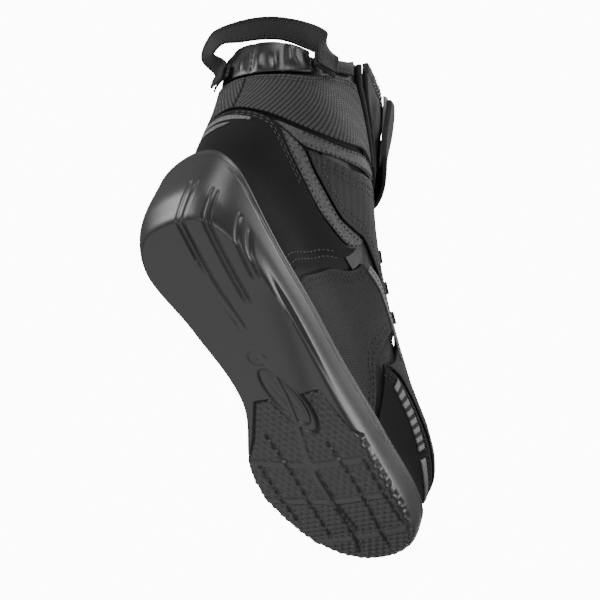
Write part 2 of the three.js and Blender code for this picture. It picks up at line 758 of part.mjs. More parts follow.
function dialFrame() {
  const up = surfaceNormal(DIAL_PLACE.angle, DIAL_PLACE.level);
  const origin = offsetPoint(DIAL_PLACE.angle, DIAL_PLACE.level, TONGUE_OUT + CLEARANCE + 1.2);
  const side = new THREE.Vector3(0, 1, 0);
  const front = side.clone().cross(up).normalize();
  const across = up.clone().cross(front).normalize();
  return new THREE.Matrix4().makeBasis(front, across, up).setPosition(origin);
}
const DIAL_FRAME = dialFrame();

function lathe(profile, segments = 20) {
  const outline2d = profile.map(([r, z]) => new THREE.Vector2(r, z));
  return new THREE.LatheGeometry(outline2d, segments).rotateX(Math.PI / 2);
}

function inDialFrame(geometry) {
  return geometry.applyMatrix4(DIAL_FRAME);
}

const HOUSING_RADIUS = 11.4;
const HOUSING_HEIGHT = 5.6;
const HOUSING_FLOOR = 1.4;
const HOUSING_BOTTOM = 0.2;
const AXLE_TOP = HOUSING_HEIGHT + 3.2;
const SADDLE_THICKNESS = 1.3;
const SPOOL_FLANGE = 0.8;
const SPOOL_CHAMFER = 0.4;
const SPOOL_GROOVE = 2;         // how deep the cable's groove runs
const SPOOL_BORE = AXLE_RADIUS + RUNNING_GAP;

function makeDialBase() {
  const saddle = panel({
    lower: [[158, 4.66], [169, 4.6], [181, 4.58], [193, 4.6], [204, 4.66]],
    upper: [[158, 5.36], [169, 5.4], [181, 5.42], [193, 5.4], [204, 5.36]],
    inner: TONGUE_OUT + CLEARANCE,
    outer: TONGUE_OUT + CLEARANCE + SADDLE_THICKNESS,
    steps: 10,
    rows: 6,
  });
  const wallInner = SPOOL_RADIUS + RUNNING_GAP;
  const body = inDialFrame(lathe([
    [0, HOUSING_BOTTOM],
    [HOUSING_RADIUS, HOUSING_BOTTOM],
    [HOUSING_RADIUS, HOUSING_HEIGHT],
    [wallInner, HOUSING_HEIGHT],
    [wallInner, HOUSING_FLOOR],
    [AXLE_RADIUS, HOUSING_FLOOR],
    [AXLE_RADIUS, AXLE_TOP],
    [0, AXLE_TOP],
  ]));
  return fromManifold(toManifold(saddle).add(toManifold(body)));
}

function makeSpool() {
  const bottom = HOUSING_FLOOR + RUNNING_GAP;
  const top = HOUSING_HEIGHT - RUNNING_GAP;
  const core = SPOOL_RADIUS - SPOOL_GROOVE;
  const slope = SPOOL_FLANGE + SPOOL_CHAMFER;
  return inDialFrame(lathe([
    [SPOOL_BORE, bottom],
    [SPOOL_RADIUS, bottom],
    [SPOOL_RADIUS, bottom + SPOOL_FLANGE],
    [core, bottom + slope],
    [core, top - slope],
    [SPOOL_RADIUS, top - SPOOL_FLANGE],
    [SPOOL_RADIUS, top],
    [SPOOL_BORE, top],
    [SPOOL_BORE, bottom],
  ]));
}

const KNOB_BOTTOM = HOUSING_HEIGHT + 0.5;
const KNOB_RIDGES = 24;
const KNOB_RIDGE_DEPTH = 0.8;

function makeKnob() {
  const shape = new THREE.Shape();
  for (let k = 0; k < KNOB_RIDGES * 2; k += 1) {
    const angle = Math.PI * k / KNOB_RIDGES;
    const radius = k % 2 ? DIAL_RADIUS - KNOB_RIDGE_DEPTH : DIAL_RADIUS;
    const place = [radius * Math.cos(angle), radius * Math.sin(angle)];
    if (k === 0) shape.moveTo(...place);
    else shape.lineTo(...place);
  }
  const cap = new THREE.ExtrudeGeometry(shape, { depth: DIAL_HEIGHT - KNOB_BOTTOM, bevelEnabled: false });
  cap.translate(0, 0, KNOB_BOTTOM);
  const bore = SPOOL_BORE;
  const deep = AXLE_TOP + RUNNING_GAP;
  const hole = lathe([[0, KNOB_BOTTOM - 1], [bore, KNOB_BOTTOM - 1], [bore, deep], [0, deep]], 20);
  return inDialFrame(fromManifold(toManifold(cap).subtract(toManifold(hole))));
}

// Guides on both edges of the throat: the cable runs through each along its channel.
const GUIDE_LEVELS = [4.72, 4.34, 3.98];
const GUIDE_ANGLES = { lateral: 144, medial: 216 };
const GUIDE_LIFT = SKIN_OUT + CLEARANCE;
const LACE_LIFT = GUIDE_LIFT + GUIDE_SIZE[2] / 2;
const LACE_LOW = 1.1;           // the cable's first run above the tongue
const LACE_CROSSING = 1.8;      // between its two runs where they cross

function guideFrame(angle, level) {
  const up = surfaceNormal(angle, level);
  const along2 = surfacePoint(angle, level + 0.1).sub(surfacePoint(angle, level - 0.1)).normalize();
  const across = up.clone().cross(along2).normalize();
  const origin = offsetPoint(angle, level, LACE_LIFT);
  return new THREE.Matrix4().makeBasis(along2, across, up).setPosition(origin);
}

function makeGuide(angle, level) {
  const [length, width, height] = GUIDE_SIZE;
  const body = new THREE.BoxGeometry(length, width, height - 0.6);
  body.translate(0, 0, 0.3);
  const bore = new THREE.CylinderGeometry(GUIDE_BORE, GUIDE_BORE, length + 4, 12).rotateZ(Math.PI / 2);
  const cut = fromManifold(toManifold(body).subtract(toManifold(bore)));
  return cut.applyMatrix4(guideFrame(angle, level));
}

// The cable's route: out of the dial, down through the guides from side to side, across the
// bottom, and back up to the dial over its own first half.
function laceRoute() {
  const low = TONGUE_OUT + LACE_LOW;
  const high = low + LACE_CROSSING;
  const half = GUIDE_SIZE[0] / 2;
  const route = [];
  const passGuide = (side, number, direction) => {
    const frame = guideFrame(GUIDE_ANGLES[side], GUIDE_LEVELS[number - 1]);
    const places = [half + GUIDE_LEAD, half - 0.8, 0, 0.8 - half, -half - GUIDE_LEAD];
    places.forEach((x) => route.push(new THREE.Vector3(direction * x, 0, 0).applyMatrix4(frame)));
  };
  const cross = (angles, level, lift) => angles.forEach((a) => route.push(offsetPoint(a, level, lift)));
  const fromDial = (...place) => route.push(new THREE.Vector3(...place).applyMatrix4(DIAL_FRAME));
  const rightwards = [162, 180, 198];
  const leftwards = [198, 180, 162];
  fromDial(3, -12.6, 3);
  fromDial(6, -17, 1.2);
  passGuide('lateral', 1, 1);
  cross(rightwards, 4.5, low);
  passGuide('medial', 2, 1);
  cross(leftwards, 4.14, low);
  passGuide('lateral', 3, 1);
  cross([153, 167, 180, 193, 207], 3.84, low);
  passGuide('medial', 3, -1);
  cross(leftwards, 4.16, high);
  passGuide('lateral', 2, -1);
  cross(rightwards, 4.52, high);
  passGuide('medial', 1, -1);
  fromDial(6, 17, 1.2);
  fromDial(3, 12.6, 3);
  return route;
}

// ---------------------------------------------------------------- webbing pull loop
// Points of the free arc and the direction of the webbing's width at each of them.
const LOOP_ARC = [
  { at: [20, -33.5, 177.5], wide: [-0.8, 0.1, 0.5] },
  { at: [14, -22, 183], wide: [-0.7, 0, 0.7] },
  { at: [6, -10, 183], wide: [-0.5, 0, 0.86] },
  { at: [-1, 0, 178], wide: [-0.45, 0, 0.9] },
  { at: [-8.5, 12, 166.5], wide: [-0.4, 0.3, 0.8] },
  { at: [-13, 21, 155], wide: [-0.1, 0.5, 0.5] },
  { at: [-7, 27.5, 147.5], wide: [0.3, 0.8, 0.4] },
];

const LOOP_ENDS = { lateral: 55, medial: 337 };

function loopStations() {
  const sewn = (angle, level, lift) => {
    const wide = surfacePoint(angle - 1, level).sub(surfacePoint(angle + 1, level));
    return { at: offsetPoint(angle, level, lift), wide };
  };
  const arc = LOOP_ARC.map(({ at, wide }) => ({
    at: new THREE.Vector3(at[0] * SCALE_X, at[1] * SCALE_Y, at[2] * SCALE_Z),
    wide: new THREE.Vector3(...wide),
  }));
  const outerEnd = [5.76, 5.98, 6.22].map((level) => sewn(LOOP_ENDS.lateral, level, LOOP_END_LIFT));
  const innerEnd = [5.58, 5.38, 5.18].map((level) => sewn(LOOP_ENDS.medial, level, INNER_END_LIFT));
  return [...outerEnd, ...arc, ...innerEnd];
}

function makePullLoop() {
  const stations = loopStations();
  const path = new THREE.CatmullRomCurve3(stations.map((station) => station.at));
  const widths = new THREE.CatmullRomCurve3(stations.map((station) => station.wide.normalize()));
  const steps = 36;
  const outer = [];
  const inner = [];
  for (let k = 0; k <= steps; k += 1) {
    const centre = path.getPoint(k / steps);
    const tangent = path.getTangent(k / steps);
    const width = widths.getPoint(k / steps);
    width.addScaledVector(tangent, -width.dot(tangent)).normalize();
    const face = tangent.clone().cross(width).normalize();
    const at = (w, t) => centre.clone().addScaledVector(width, w).addScaledVector(face, t);
    const row = (t) => [-LOOP_WIDTH / 2, 0, LOOP_WIDTH / 2].map((w) => at(w, t));
    outer.push(row(LOOP_THICKNESS / 2));
    inner.push(row(-LOOP_THICKNESS / 2));
  }
  return solidGrid(outer, inner);
}

// ---------------------------------------------------------------- assembly
const boot = new THREE.Group();

function add(name, geometry, finish) {
  const mesh = new THREE.Mesh(geometry, material(finish.color, finish.roughness, finish.metalness));
  mesh.name = name;
  boot.add(mesh);
}

add('outsole', makeOutsole(), RUBBER);
add('forefoot_tread', makeTread(), RUBBER);
add('sole_badge', badgeBlock(BADGE, 0, 0.4, BADGE_DEPTH - CLEARANCE), RUBBER);
add('midsole', makeMidsole(), FOAM);
add('shank', shankBox(0, 0), STEEL);
add('insole_board', solePlate(floorInset(0.5), BOARD_BOTTOM, BOARD_TOP), BOARD);
add('bootie_lining', makeBootie(), FOAM);
const footbedBottom = BOOTIE_FLOOR + LINING + CLEARANCE;
add('footbed', solePlate(floorInset(LINING + 1.2), footbedBottom, footbedBottom + FOOTBED_THICKNESS), FOAM);

for (const medial of [false, true]) {
  for (const options of SIDE_PANELS) {
    add(`${options.name}_${medial ? 'medial' : 'lateral'}`, panel({ ...options, medial }), options.finish);
  }
  const line = medial ? mirrored(BINDING_LINE) : BINDING_LINE;
  const binding = line.map(([angle, level]) => offsetPoint(angle, level, BINDING_LIFT));
  add(`collar_binding_${medial ? 'medial' : 'lateral'}`, tube(binding, BINDING_RADIUS, 10), LEATHER);
}
for (const options of [...CENTRE_PANELS, ...FLAP_PANELS, ...LOOP_TABS]) {
  add(options.name, panel(options), options.finish);
}
for (const mark of HEEL_MARKS) {
  add(mark.name, panel({ ...mark, inner: TRIM_IN, outer: TRIM_OUT, steps: 6, rows: 1 }), REFLECTOR);
}

add('dial_base', makeDialBase(), TPU);
add('dial_spool', makeSpool(), TPU);
add('dial_knob', makeKnob(), LEATHER);
for (const [side, angle] of Object.entries(GUIDE_ANGLES)) {
  GUIDE_LEVELS.forEach((level, k) => add(`lace_guide_${side}_${k + 1}`, makeGuide(angle, level), TPU));
}
add('lace_cable', tube(laceRoute(), LACE_RADIUS, 110, 6), STEEL);
add('pull_loop', makePullLoop(), LEATHER);

const box = new THREE.Box3().setFromObject(boot);
boot.position.set(-(box.min.x + box.max.x) / 2, -(box.min.y + box.max.y) / 2, -box.min.z);

export default boot;
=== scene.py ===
"""Right-foot riding boot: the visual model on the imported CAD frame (metres, +Z up, toe +X)."""
import bpy
import math
import numpy as np
from mathutils import Matrix, Vector


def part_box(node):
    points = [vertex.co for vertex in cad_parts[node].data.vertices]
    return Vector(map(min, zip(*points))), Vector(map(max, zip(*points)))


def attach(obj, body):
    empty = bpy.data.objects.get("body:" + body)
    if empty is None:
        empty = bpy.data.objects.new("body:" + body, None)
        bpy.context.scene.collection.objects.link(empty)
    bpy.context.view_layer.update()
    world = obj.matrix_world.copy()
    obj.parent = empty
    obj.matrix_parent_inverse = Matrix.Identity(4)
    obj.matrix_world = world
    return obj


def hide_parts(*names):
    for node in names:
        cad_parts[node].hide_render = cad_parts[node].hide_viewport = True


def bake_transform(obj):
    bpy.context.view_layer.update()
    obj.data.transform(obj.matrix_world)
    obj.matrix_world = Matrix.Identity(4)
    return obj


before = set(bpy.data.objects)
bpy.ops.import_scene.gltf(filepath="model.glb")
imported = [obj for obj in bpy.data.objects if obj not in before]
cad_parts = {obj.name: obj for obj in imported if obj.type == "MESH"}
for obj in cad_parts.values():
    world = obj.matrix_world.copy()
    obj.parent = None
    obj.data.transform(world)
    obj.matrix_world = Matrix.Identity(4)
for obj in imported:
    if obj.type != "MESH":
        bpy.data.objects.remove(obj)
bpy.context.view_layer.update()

# ---- pattern surface, millimetres
SOLE_LENGTH = 300.0
HEEL_BEVEL = 9.0
TOE_SPRING = 15.0
RIM_INSET, CUP_WALL = 1.2, 3.0
RIM_HEIGHT, HEEL_CUP = 25.0, 52.0
UPPER_INSET = RIM_INSET + CUP_WALL + 0.3 + 2.8 + 0.8
OUTLINE = np.array([-4, -26, -36, -39, -38.5, -40, -37.5, -23.5, 5, 30.5, 46.5, 51.5, 29, 34, 43.5, 30])
LEVELS = [
    ((12, 58), (286, 62), [1, -18.5, -27, -29.5, -31, -37, -37, -24, 6, 28, 40, 37, 26, 28.5, 29, 20]),
    ((11, 84), (252, 82), [2, -20, -30, -34, -33, -34, -30, -17, 4, 21, 31, 34, 32, 34, 30, 21]),
    ((11, 108), (198, 106), [1, -20, -31, -38, -38, -34.5, -27, -14.5, 2, 16, 28, 34.5, 38, 38, 31, 21]),
    ((8, 132), (152, 138), [0, -19, -33, -41, -42, -36, -25, -13, 0, 14, 25, 36, 42, 41, 33, 19]),
    ((-1, 155), (127, 172), [0, -15, -26, -33, -35, -31, -23, -12, 0, 12, 23, 31, 35, 33, 26, 15]),
    ((-4, 179), (117, 202), [0, -14, -25, -31, -33, -29, -22, -12, 0, 12, 22, 29, 33, 31, 25, 14]),
]


def cubic(t):
    return 0.5 * np.stack([-t + 2 * t * t - t ** 3, 2 - 5 * t * t + 3 * t ** 3,
                           t + 4 * t * t - 3 * t ** 3, -t * t + t ** 3], -1)


def around(values, angle):
    u = (np.asarray(angle, float) / 22.5) % 16
    i = np.floor(u).astype(int)
    return (values[(i[..., None] + np.arange(-1, 3)) % 16] * cubic(u - i)).sum(-1)


def along(points, s):
    """A smooth curve through the points; s runs from 0 to 1."""
    p = np.asarray(points, float)
    p = np.vstack([2 * p[0] - p[1], p, 2 * p[-1] - p[-2]])
    u = np.clip(np.asarray(s, float), 0, 1) * (len(p) - 3)
    i = np.minimum(np.floor(u).astype(int), len(p) - 4)
    return (p[i[..., None] + np.arange(4)] * cubic(u - i)[..., None]).sum(-2)


def ground(x):
    return np.where(x > 205, TOE_SPRING * ((x - 205) / (SOLE_LENGTH - 205)) ** 2, 0)


def heel_lobe(angle):
    away = np.abs(((np.asarray(angle, float) + 540) % 360) - 180)
    return 0.5 * (1 + np.cos(np.pi * np.minimum(away / 60, 1)))


def outline(angle, inset):
    def at(a):
        return np.stack([SOLE_LENGTH * (1 - np.cos(np.radians(a))) / 2, around(OUTLINE, a)], -1)
    p, d = at(angle), at(angle + 1) - at(angle - 1)
    d = d / np.linalg.norm(d, axis=-1, keepdims=True)
    return np.stack([p[..., 0] - inset * d[..., 1], p[..., 1] + inset * d[..., 0]], -1)


def make_net():
    angles = np.arange(16) * 22.5
    rows = []
    for height, tuck in ((14, 3.6), (34, 0.9)):
        p = outline(angles, UPPER_INSET + tuck * heel_lobe(angles))
        rows.append(np.column_stack([p, height + ground(p[:, 0])]))
    s = (1 - np.cos(np.radians(angles))) / 2
    for k, (back, front, y) in enumerate(LEVELS):
        rise = 8 if k >= 4 else 0
        rows.append(np.column_stack([
            back[0] + (front[0] - back[0]) * s, y,
            back[1] + (front[1] - back[1]) * s + rise * np.sin(np.radians(angles)) ** 2]))
    rows = np.array(rows)
    return np.concatenate([2 * rows[:1] - rows[1:2], rows, 2 * rows[-1:] - rows[-2:-1]])


NET = make_net()


def surface(angle, level):
    angle, level = np.broadcast_arrays(np.asarray(angle, float), np.asarray(level, float))
    u = (angle / 22.5) % 16
    i = np.floor(u).astype(int)
    j = np.clip(np.floor(level).astype(int), 0, 6)
    cols = (i[..., None] + np.arange(-1, 3)) % 16
    rows = j[..., None] + np.arange(4)
    patch = NET[rows[..., :, None], cols[..., None, :]]
    return np.einsum("...r,...c,...rcd->...d", cubic(level - j), cubic(u - i), patch)


def unit(v):
    return v / np.maximum(np.linalg.norm(v, axis=-1, keepdims=True), 1e-9)


def normal(angle, level):
    angle, level = np.asarray(angle, float), np.asarray(level, float)
    a = surface(angle + 0.5, level) - surface(angle - 0.5, level)
    b = surface(angle, level + 0.02) - surface(angle, level - 0.02)
    return unit(np.cross(a, b))


def shell(angle, level, offset):
    return surface(angle, level) + normal(angle, level) * np.asarray(offset, float)[..., None]


def mirrored(points):
    return [(360 - a, v) for a, v in points]


def wrap_back(half):
    return [(-a, v) for a, v in half[:0:-1]] + list(half)


def wrap_front(half):
    return list(half) + mirrored(half)[::-1]


# The frame's origin, from the sole's own place in the CAD model.
sole_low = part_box("outsole")[0]
sole_loop = np.arange(48) * 7.5
sole_side = min(outline(sole_loop, inset)[:, 1].min() for inset in (0.2, RIM_INSET))
SHIFT = np.array([sole_low.x * 1000 - outline(0.0, RIM_INSET)[0], sole_low.y * 1000 - sole_side, 0.0])


def place(points):
    return (np.asarray(points, float) + SHIFT) * 0.001


# ---- meshes
# How far the inner and the outer face of each kind of piece are over the pattern surface.
PANEL_IN, PANEL_OUT = 1.6, 2.8
BAND_IN, BAND_OUT = 3.1, 3.9
PLATE_IN, PLATE_OUT = 6.8, 8.4
STRAP_IN, STRAP_OUT = 9.0, 11.8


def new_object(name, data):
    obj = bpy.data.objects.new(name, data)
    bpy.context.scene.collection.objects.link(obj)
    return obj


def add_mesh(name, points, faces, material, body="boot", nodes=(), uv=None):
    mesh = bpy.data.meshes.new(name)
    mesh.from_pydata(place(points).tolist(), [], [list(f) for f in faces])
    if uv is not None:
        layer = mesh.uv_layers.new(name="cloth")
        loops = np.zeros(len(mesh.loops), np.int32)
        mesh.loops.foreach_get("vertex_index", loops)
        layer.data.foreach_set("uv", np.asarray(uv, float)[loops].ravel())
    mesh.polygons.foreach_set("use_smooth", [True] * len(mesh.polygons))
    mesh.materials.append(material)
    mesh.update()
    obj = new_object(name, mesh)
    if body:
        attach(obj, body)
    if nodes:
        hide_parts(*nodes)
    return obj


def grid_faces(rows, cols, wrap=False, base=0):
    r, c = np.meshgrid(np.arange(rows - 1), np.arange(cols if wrap else cols - 1), indexing="ij")
    n = (c + 1) % cols
    corners = [r * cols + c, r * cols + n, (r + 1) * cols + n, (r + 1) * cols + c]
    return (base + np.stack(corners, -1)).reshape(-1, 4)


def border(rows, cols):
    """The numbers of a grid's outer points, once around."""
    ring = ([(0, c) for c in range(cols)] + [(r, cols - 1) for r in range(1, rows)]
            + [(rows - 1, c) for c in range(cols - 2, -1, -1)] + [(r, 0) for r in range(rows - 2, 0, -1)])
    return np.array([r * cols + c for r, c in ring])


def skirt(top, below):
    """Faces that join a border to the ring of points under it."""
    return np.stack([top, below, np.roll(below, -1), np.roll(top, -1)], -1)


def cloth_uv(u, v):
    return np.stack(np.broadcast_arrays(u, v), -1).reshape(-1, 2)


def run_along(points):
    """How far along a line each of its points is."""
    return np.concatenate([[0], np.cumsum(np.linalg.norm(np.diff(points, axis=0), axis=1))])


def edge_spaced(n, length, edge=(0.35, 0.9)):
    """n even steps from 0 to 1, with close rows near both ends for a rounded edge."""
    e = [x / length for x in edge]
    inner = np.linspace(e[1], 1 - e[1], n)
    return np.concatenate([[0, e[0]], inner, [1 - e[0], 1]])


def curve_length(points):
    p = along(points, np.linspace(0, 1, 40))
    return np.linalg.norm(np.diff(surface(p[:, 0], p[:, 1]), axis=0), axis=1).sum()


def panel_net(lower, upper, pitch=2.0, gap=0.45, medial=False):
    """(angle, level) grid of a panel, its size in mm and its own s and t."""
    if medial:
        lower, upper = mirrored(lower), mirrored(upper)
    length = min(curve_length(lower), curve_length(upper))
    mid = [along(lower, np.array(0.5)), along(upper, np.array(0.5))]
    height = curve_length(mid)
    s = edge_spaced(max(4, int(length / pitch)), length)
    t = edge_spaced(max(3, int(height / pitch)), height)
    s2 = gap / length + (1 - 2 * gap / length) * s
    t2 = gap / height + (1 - 2 * gap / height) * t
    a, b = along(lower, s2), along(upper, s2)
    net = a[None] + (b - a)[None] * t2[:, None, None]
    return net, length, height, s, t


def edge_drop(s, t, length, height, depth=0.55, reach=0.9):
    """How far a panel's face falls at its four edges."""
    d = np.minimum(np.minimum(s, 1 - s)[None] * length, np.minimum(t, 1 - t)[:, None] * height)
    x = np.clip(1 - d / reach, 0, 1)
    return depth * (1 - np.sqrt(np.maximum(1 - x * x, 0)))


def panel(name, lower, upper, material, inner=PANEL_IN, outer=PANEL_OUT, pitch=2.0, medial=False, body="boot",
          nodes=(), relief=None, slot=None, round_edge=(0.55, 0.9)):
    """A sheet between two lines of (angle, level) points, from inner to outer mm over the pattern surface."""
    net, length, height, s, t = panel_net(lower, upper, pitch, medial=medial)
    u, v = s[None] * length, t[:, None] * height
    lift = outer - edge_drop(s, t, length, height, *round_edge)
    if relief is not None:
        lift = lift + relief(u, v, length, height)
    top = shell(net[..., 0], net[..., 1], lift)
    index = border(*top.shape[:2])
    under = shell(net[..., 0], net[..., 1], inner).reshape(-1, 3)[index]
    uv = cloth_uv(u, v)
    faces = np.vstack([grid_faces(*top.shape[:2]), skirt(index, len(uv) + np.arange(len(index)))])
    if medial:
        faces = faces[:, ::-1]
    points = np.vstack([top.reshape(-1, 3), under])
    return add_mesh(name, points, faces, material, body, nodes, np.vstack([uv, uv[index]]))


def swept(name, ring, path, width, material, body, node):
    """A closed skin over rings of points along a path; width is each point's place across the cloth."""
    n, m = ring.shape[:2]
    faces = grid_faces(n, m, wrap=True).tolist()
    faces += [list(range(m)), list(range(n * m - 1, (n - 1) * m - 1, -1))]
    uv = cloth_uv(run_along(path)[:, None], width[None])
    return add_mesh(name, ring.reshape(-1, 3), faces, material, body, (node,), uv)


def tube(name, path, radius, material, node, count=16):
    """A round tube, its rings turning as little as possible along the path."""
    tangent = unit(np.gradient(path, axis=0))
    side = unit(np.cross(tangent[0], [0.3, 0.2, 0.9]))
    sides = []
    for t in tangent:
        side = unit(side - t * (side @ t))
        sides.append(side)
    a = np.array(sides)[:, None]
    b = np.cross(tangent, np.array(sides))[:, None]
    turn = np.linspace(0, 2 * np.pi, count, endpoint=False)
    x, y = np.cos(turn)[None, :, None] * radius, np.sin(turn)[None, :, None] * radius
    return swept(name, path[:, None] + a * x + b * y, path, turn, material, "boot", node)


def centripetal(points, s):
    """The smooth curve that the CAD model uses for its tubes and webbing."""
    p = np.asarray(points, float)
    p = np.vstack([2 * p[0] - p[1], p, 2 * p[-1] - p[-2]])
    out = []
    for u in np.asarray(s, float) * (len(p) - 3):
        i = min(int(u), len(p) - 4)
        w = u - i
        q = p[i:i + 4]
        d = [max(np.linalg.norm(q[k + 1] - q[k]) ** 0.5, 1e-4) for k in range(3)]
        t1 = ((q[1] - q[0]) / d[0] - (q[2] - q[0]) / (d[0] + d[1]) + (q[2] - q[1]) / d[1]) * d[1]
        t2 = ((q[2] - q[1]) / d[1] - (q[3] - q[1]) / (d[1] + d[2]) + (q[3] - q[2]) / d[2]) * d[1]
        out.append(q[1] + t1 * w + (-3 * q[1] + 3 * q[2] - 2 * t1 - t2) * w * w
                   + (2 * q[1] - 2 * q[2] + t1 + t2) * w ** 3)
    return np.array(out)


# ---- stitching
STITCHES = {}


def stitch_points(points, normals, thread, body="boot", length=2.6, gap=1.5, radius=0.32):
    """Stitches along a line of points on a surface."""
    p, n = np.asarray(points, float), np.asarray(normals, float)
    run = run_along(p)
    count = int((run[-1] + gap) / (length + gap))
    for k in range(count):
        start = (run[-1] - count * (length + gap) + gap) / 2 + k * (length + gap)
        ends = [np.array([np.interp(start + d, run, p[:, c]) for c in range(3)]) for d in (0, length)]
        up = unit(np.array([np.interp(start + length / 2, run, n[:, c]) for c in range(3)]))
        STITCHES.setdefault((thread, body), []).append((ends, up, radius))


def stitch(points, offset, thread, body="boot", medial=False, **sizes):
    """Stitches along (angle, level) points, lying at an offset from the pattern surface."""
    q = along(mirrored(points) if medial else points, np.linspace(0, 1, 80))
    a, v = q[:, 0], q[:, 1]
    stitch_points(shell(a, v, offset), normal(a, v), thread, body, **sizes)


def build_stitches(threads):
    """Each stitch is four six-sided rings: two small ends sunk in the cloth and two proud of it."""
    turn = np.linspace(0, 2 * np.pi, 6, endpoint=False)
    for (thread, body), rows in sorted(STITCHES.items()):
        points, faces = [], []
        for (a, b), up, r in rows:
            side = unit(np.cross(up, unit(b - a)))
            base = len(points)
            for share, size, lift in ((0, 0.45, -0.25), (0.25, 1, 0.25), (0.75, 1, 0.25), (1, 0.45, -0.25)):
                centre = a * (1 - share) + b * share
                points += [centre + side * (r * 1.25 * size * math.cos(w))
                           + up * (r * size * math.sin(w) + lift * r) for w in turn]
            faces += grid_faces(4, 6, wrap=True, base=base).tolist()
            faces += [[base + c for c in range(5, -1, -1)], [base + 18 + c for c in range(6)]]
        add_mesh(f"stitching_{thread}_{body}", np.array(points), faces, threads[thread], body)


# ---- materials
class Tree:
    """A short way to write a node tree."""

    def __init__(self, name):
        self.material = bpy.data.materials.new(name)
        self.material.use_nodes = True
        self.nodes = self.material.node_tree.nodes
        self.links = self.material.node_tree.links
        self.shader = self.nodes["Principled BSDF"]

    def put(self, socket, value):
        if isinstance(value, bpy.types.NodeSocket):
            self.links.new(value, socket)
        elif value is not None:
            socket.default_value = value

    def node(self, kind, output, inputs, **settings):
        """A new node with these settings and inputs; gives one of its outputs."""
        node = self.nodes.new("ShaderNode" + kind)
        for key, value in settings.items():
            setattr(node, key, value)
        for key, value in inputs.items():
            self.put(node.inputs[key], value)
        return node.outputs[output]

    def math(self, op, a, b=None, clamp=False):
        return self.node("Math", 0, {0: a, 1: b}, operation=op, use_clamp=clamp)

    def times(self, a, b, clamp=False):
        return self.math("MULTIPLY", a, b, clamp)

    def plus(self, a, b):
        return self.math("ADD", a, b)

    def uv(self):
        split = self.nodes.new("ShaderNodeSeparateXYZ")
        self.put(split.inputs[0], self.node("UVMap", 0, {}, uv_map="cloth"))
        return split.outputs[0], split.outputs[1]

    def place(self):
        return self.node("TexCoord", "Object", {})

    def noise(self, size_mm, detail, roughness=0.55):
        inputs = {"Vector": self.place(), "Scale": 1000.0 / size_mm, "Detail": detail, "Roughness": roughness}
        return self.node("TexNoise", "Fac", inputs)

    def cells(self, size_mm):
        return self.node("TexVoronoi", "Distance", {"Vector": self.place(), "Scale": 1000.0 / size_mm})

    def ramp(self, value, low, high, a=0.0, b=1.0):
        """Turns a value from low to high into one from a to b."""
        inputs = {"Value": value, "From Min": low, "From Max": high, "To Min": a, "To Max": b}
        return self.node("MapRange", "Result", inputs)

    def mix(self, factor, dark, light):
        """Between two colours, each a grey's sRGB value or a linear colour."""
        a, b = (x if isinstance(x, tuple) else grey(x) for x in (dark, light))
        return self.node("Mix", 2, {"Factor": factor, 6: a, 7: b}, data_type="RGBA")

    def bump(self, height, depth_mm):
        normal = self.node("Bump", 0, {"Strength": 1.0, "Distance": depth_mm * 0.001, "Height": height})
        self.put(self.shader.inputs["Normal"], normal)

    def finish(self, colour, rough, metallic=0.0, sheen=0.0, specular=0.5):
        for key, value in (("Base Color", colour), ("Roughness", rough), ("Metallic", metallic),
                           ("Sheen Weight", sheen), ("Sheen Roughness", 0.5),
                           ("Specular IOR Level", specular)):
            self.put(self.shader.inputs[key], value)
        return self.material


def grey(v, warm=0.0):
    """Linear grey of an sRGB value from 0 to 255, a touch blue."""
    x = v / 255
    y = x / 12.92 if x <= 0.04045 else ((x + 0.055) / 1.055) ** 2.4
    return (y * (1 + warm), y, y * (1.05 - warm), 1)


def grain(name, dark, light, rough, size, depth, spread=40, metallic=0.0, sheen=0.0, specular=0.5, pits=None):
    """A moulded or sprayed surface: broad colour drift, fine grain in roughness and bump."""
    t = Tree(name)
    broad = t.noise(spread, 2.0)
    small = t.noise(size, 4.0, 0.65)
    both = t.plus(t.times(t.ramp(broad, 0.3, 0.7), 0.5), t.times(t.ramp(small, 0.3, 0.7), 0.5))
    height = t.plus(t.times(small, 0.5), t.ramp(t.cells(pits), 0.0, 0.5)) if pits else small
    t.bump(height, depth)
    return t.finish(t.mix(both, dark, light), t.ramp(both, 0, 1, rough - 0.06, rough + 0.08),
                    metallic, sheen, specular)


def weave(name, dark, light, rough, across, down, depth, slant=0.0, sheen=0.2, holes=0.0):
    """Threads over and under each other; holes between them where the cloth is open."""
    t = Tree(name)
    u, v = t.uv()
    row = t.math("FLOOR", t.math("DIVIDE", v, down))
    shift = t.times(t.math("MODULO", row, 2.0), across / 2)
    over = t.math("SINE", t.times(t.plus(t.plus(u, t.times(v, slant)), shift), 2 * math.pi / across))
    under = t.math("SINE", t.times(t.math("SUBTRACT", v, t.times(row, down)), math.pi / down))
    bulge = t.times(t.plus(t.times(over, 0.5), 0.5), under)
    if holes:
        bulge = t.math("MAXIMUM", t.ramp(bulge, holes, min(1.0, holes + 0.35)), 0.0, True)
    value = t.times(bulge, t.ramp(t.noise(0.7, 2.0), 0.3, 0.7, 0.75, 1.1))
    value = t.times(value, t.ramp(t.noise(25, 2.0), 0.3, 0.7, 0.85, 1.1), True)
    t.bump(value, depth)
    dull = t.ramp(value, 0, 1, min(1.0, rough + 0.1), rough)
    return t.finish(t.mix(value, dark, light), dull, 0.0, sheen, 0.35)


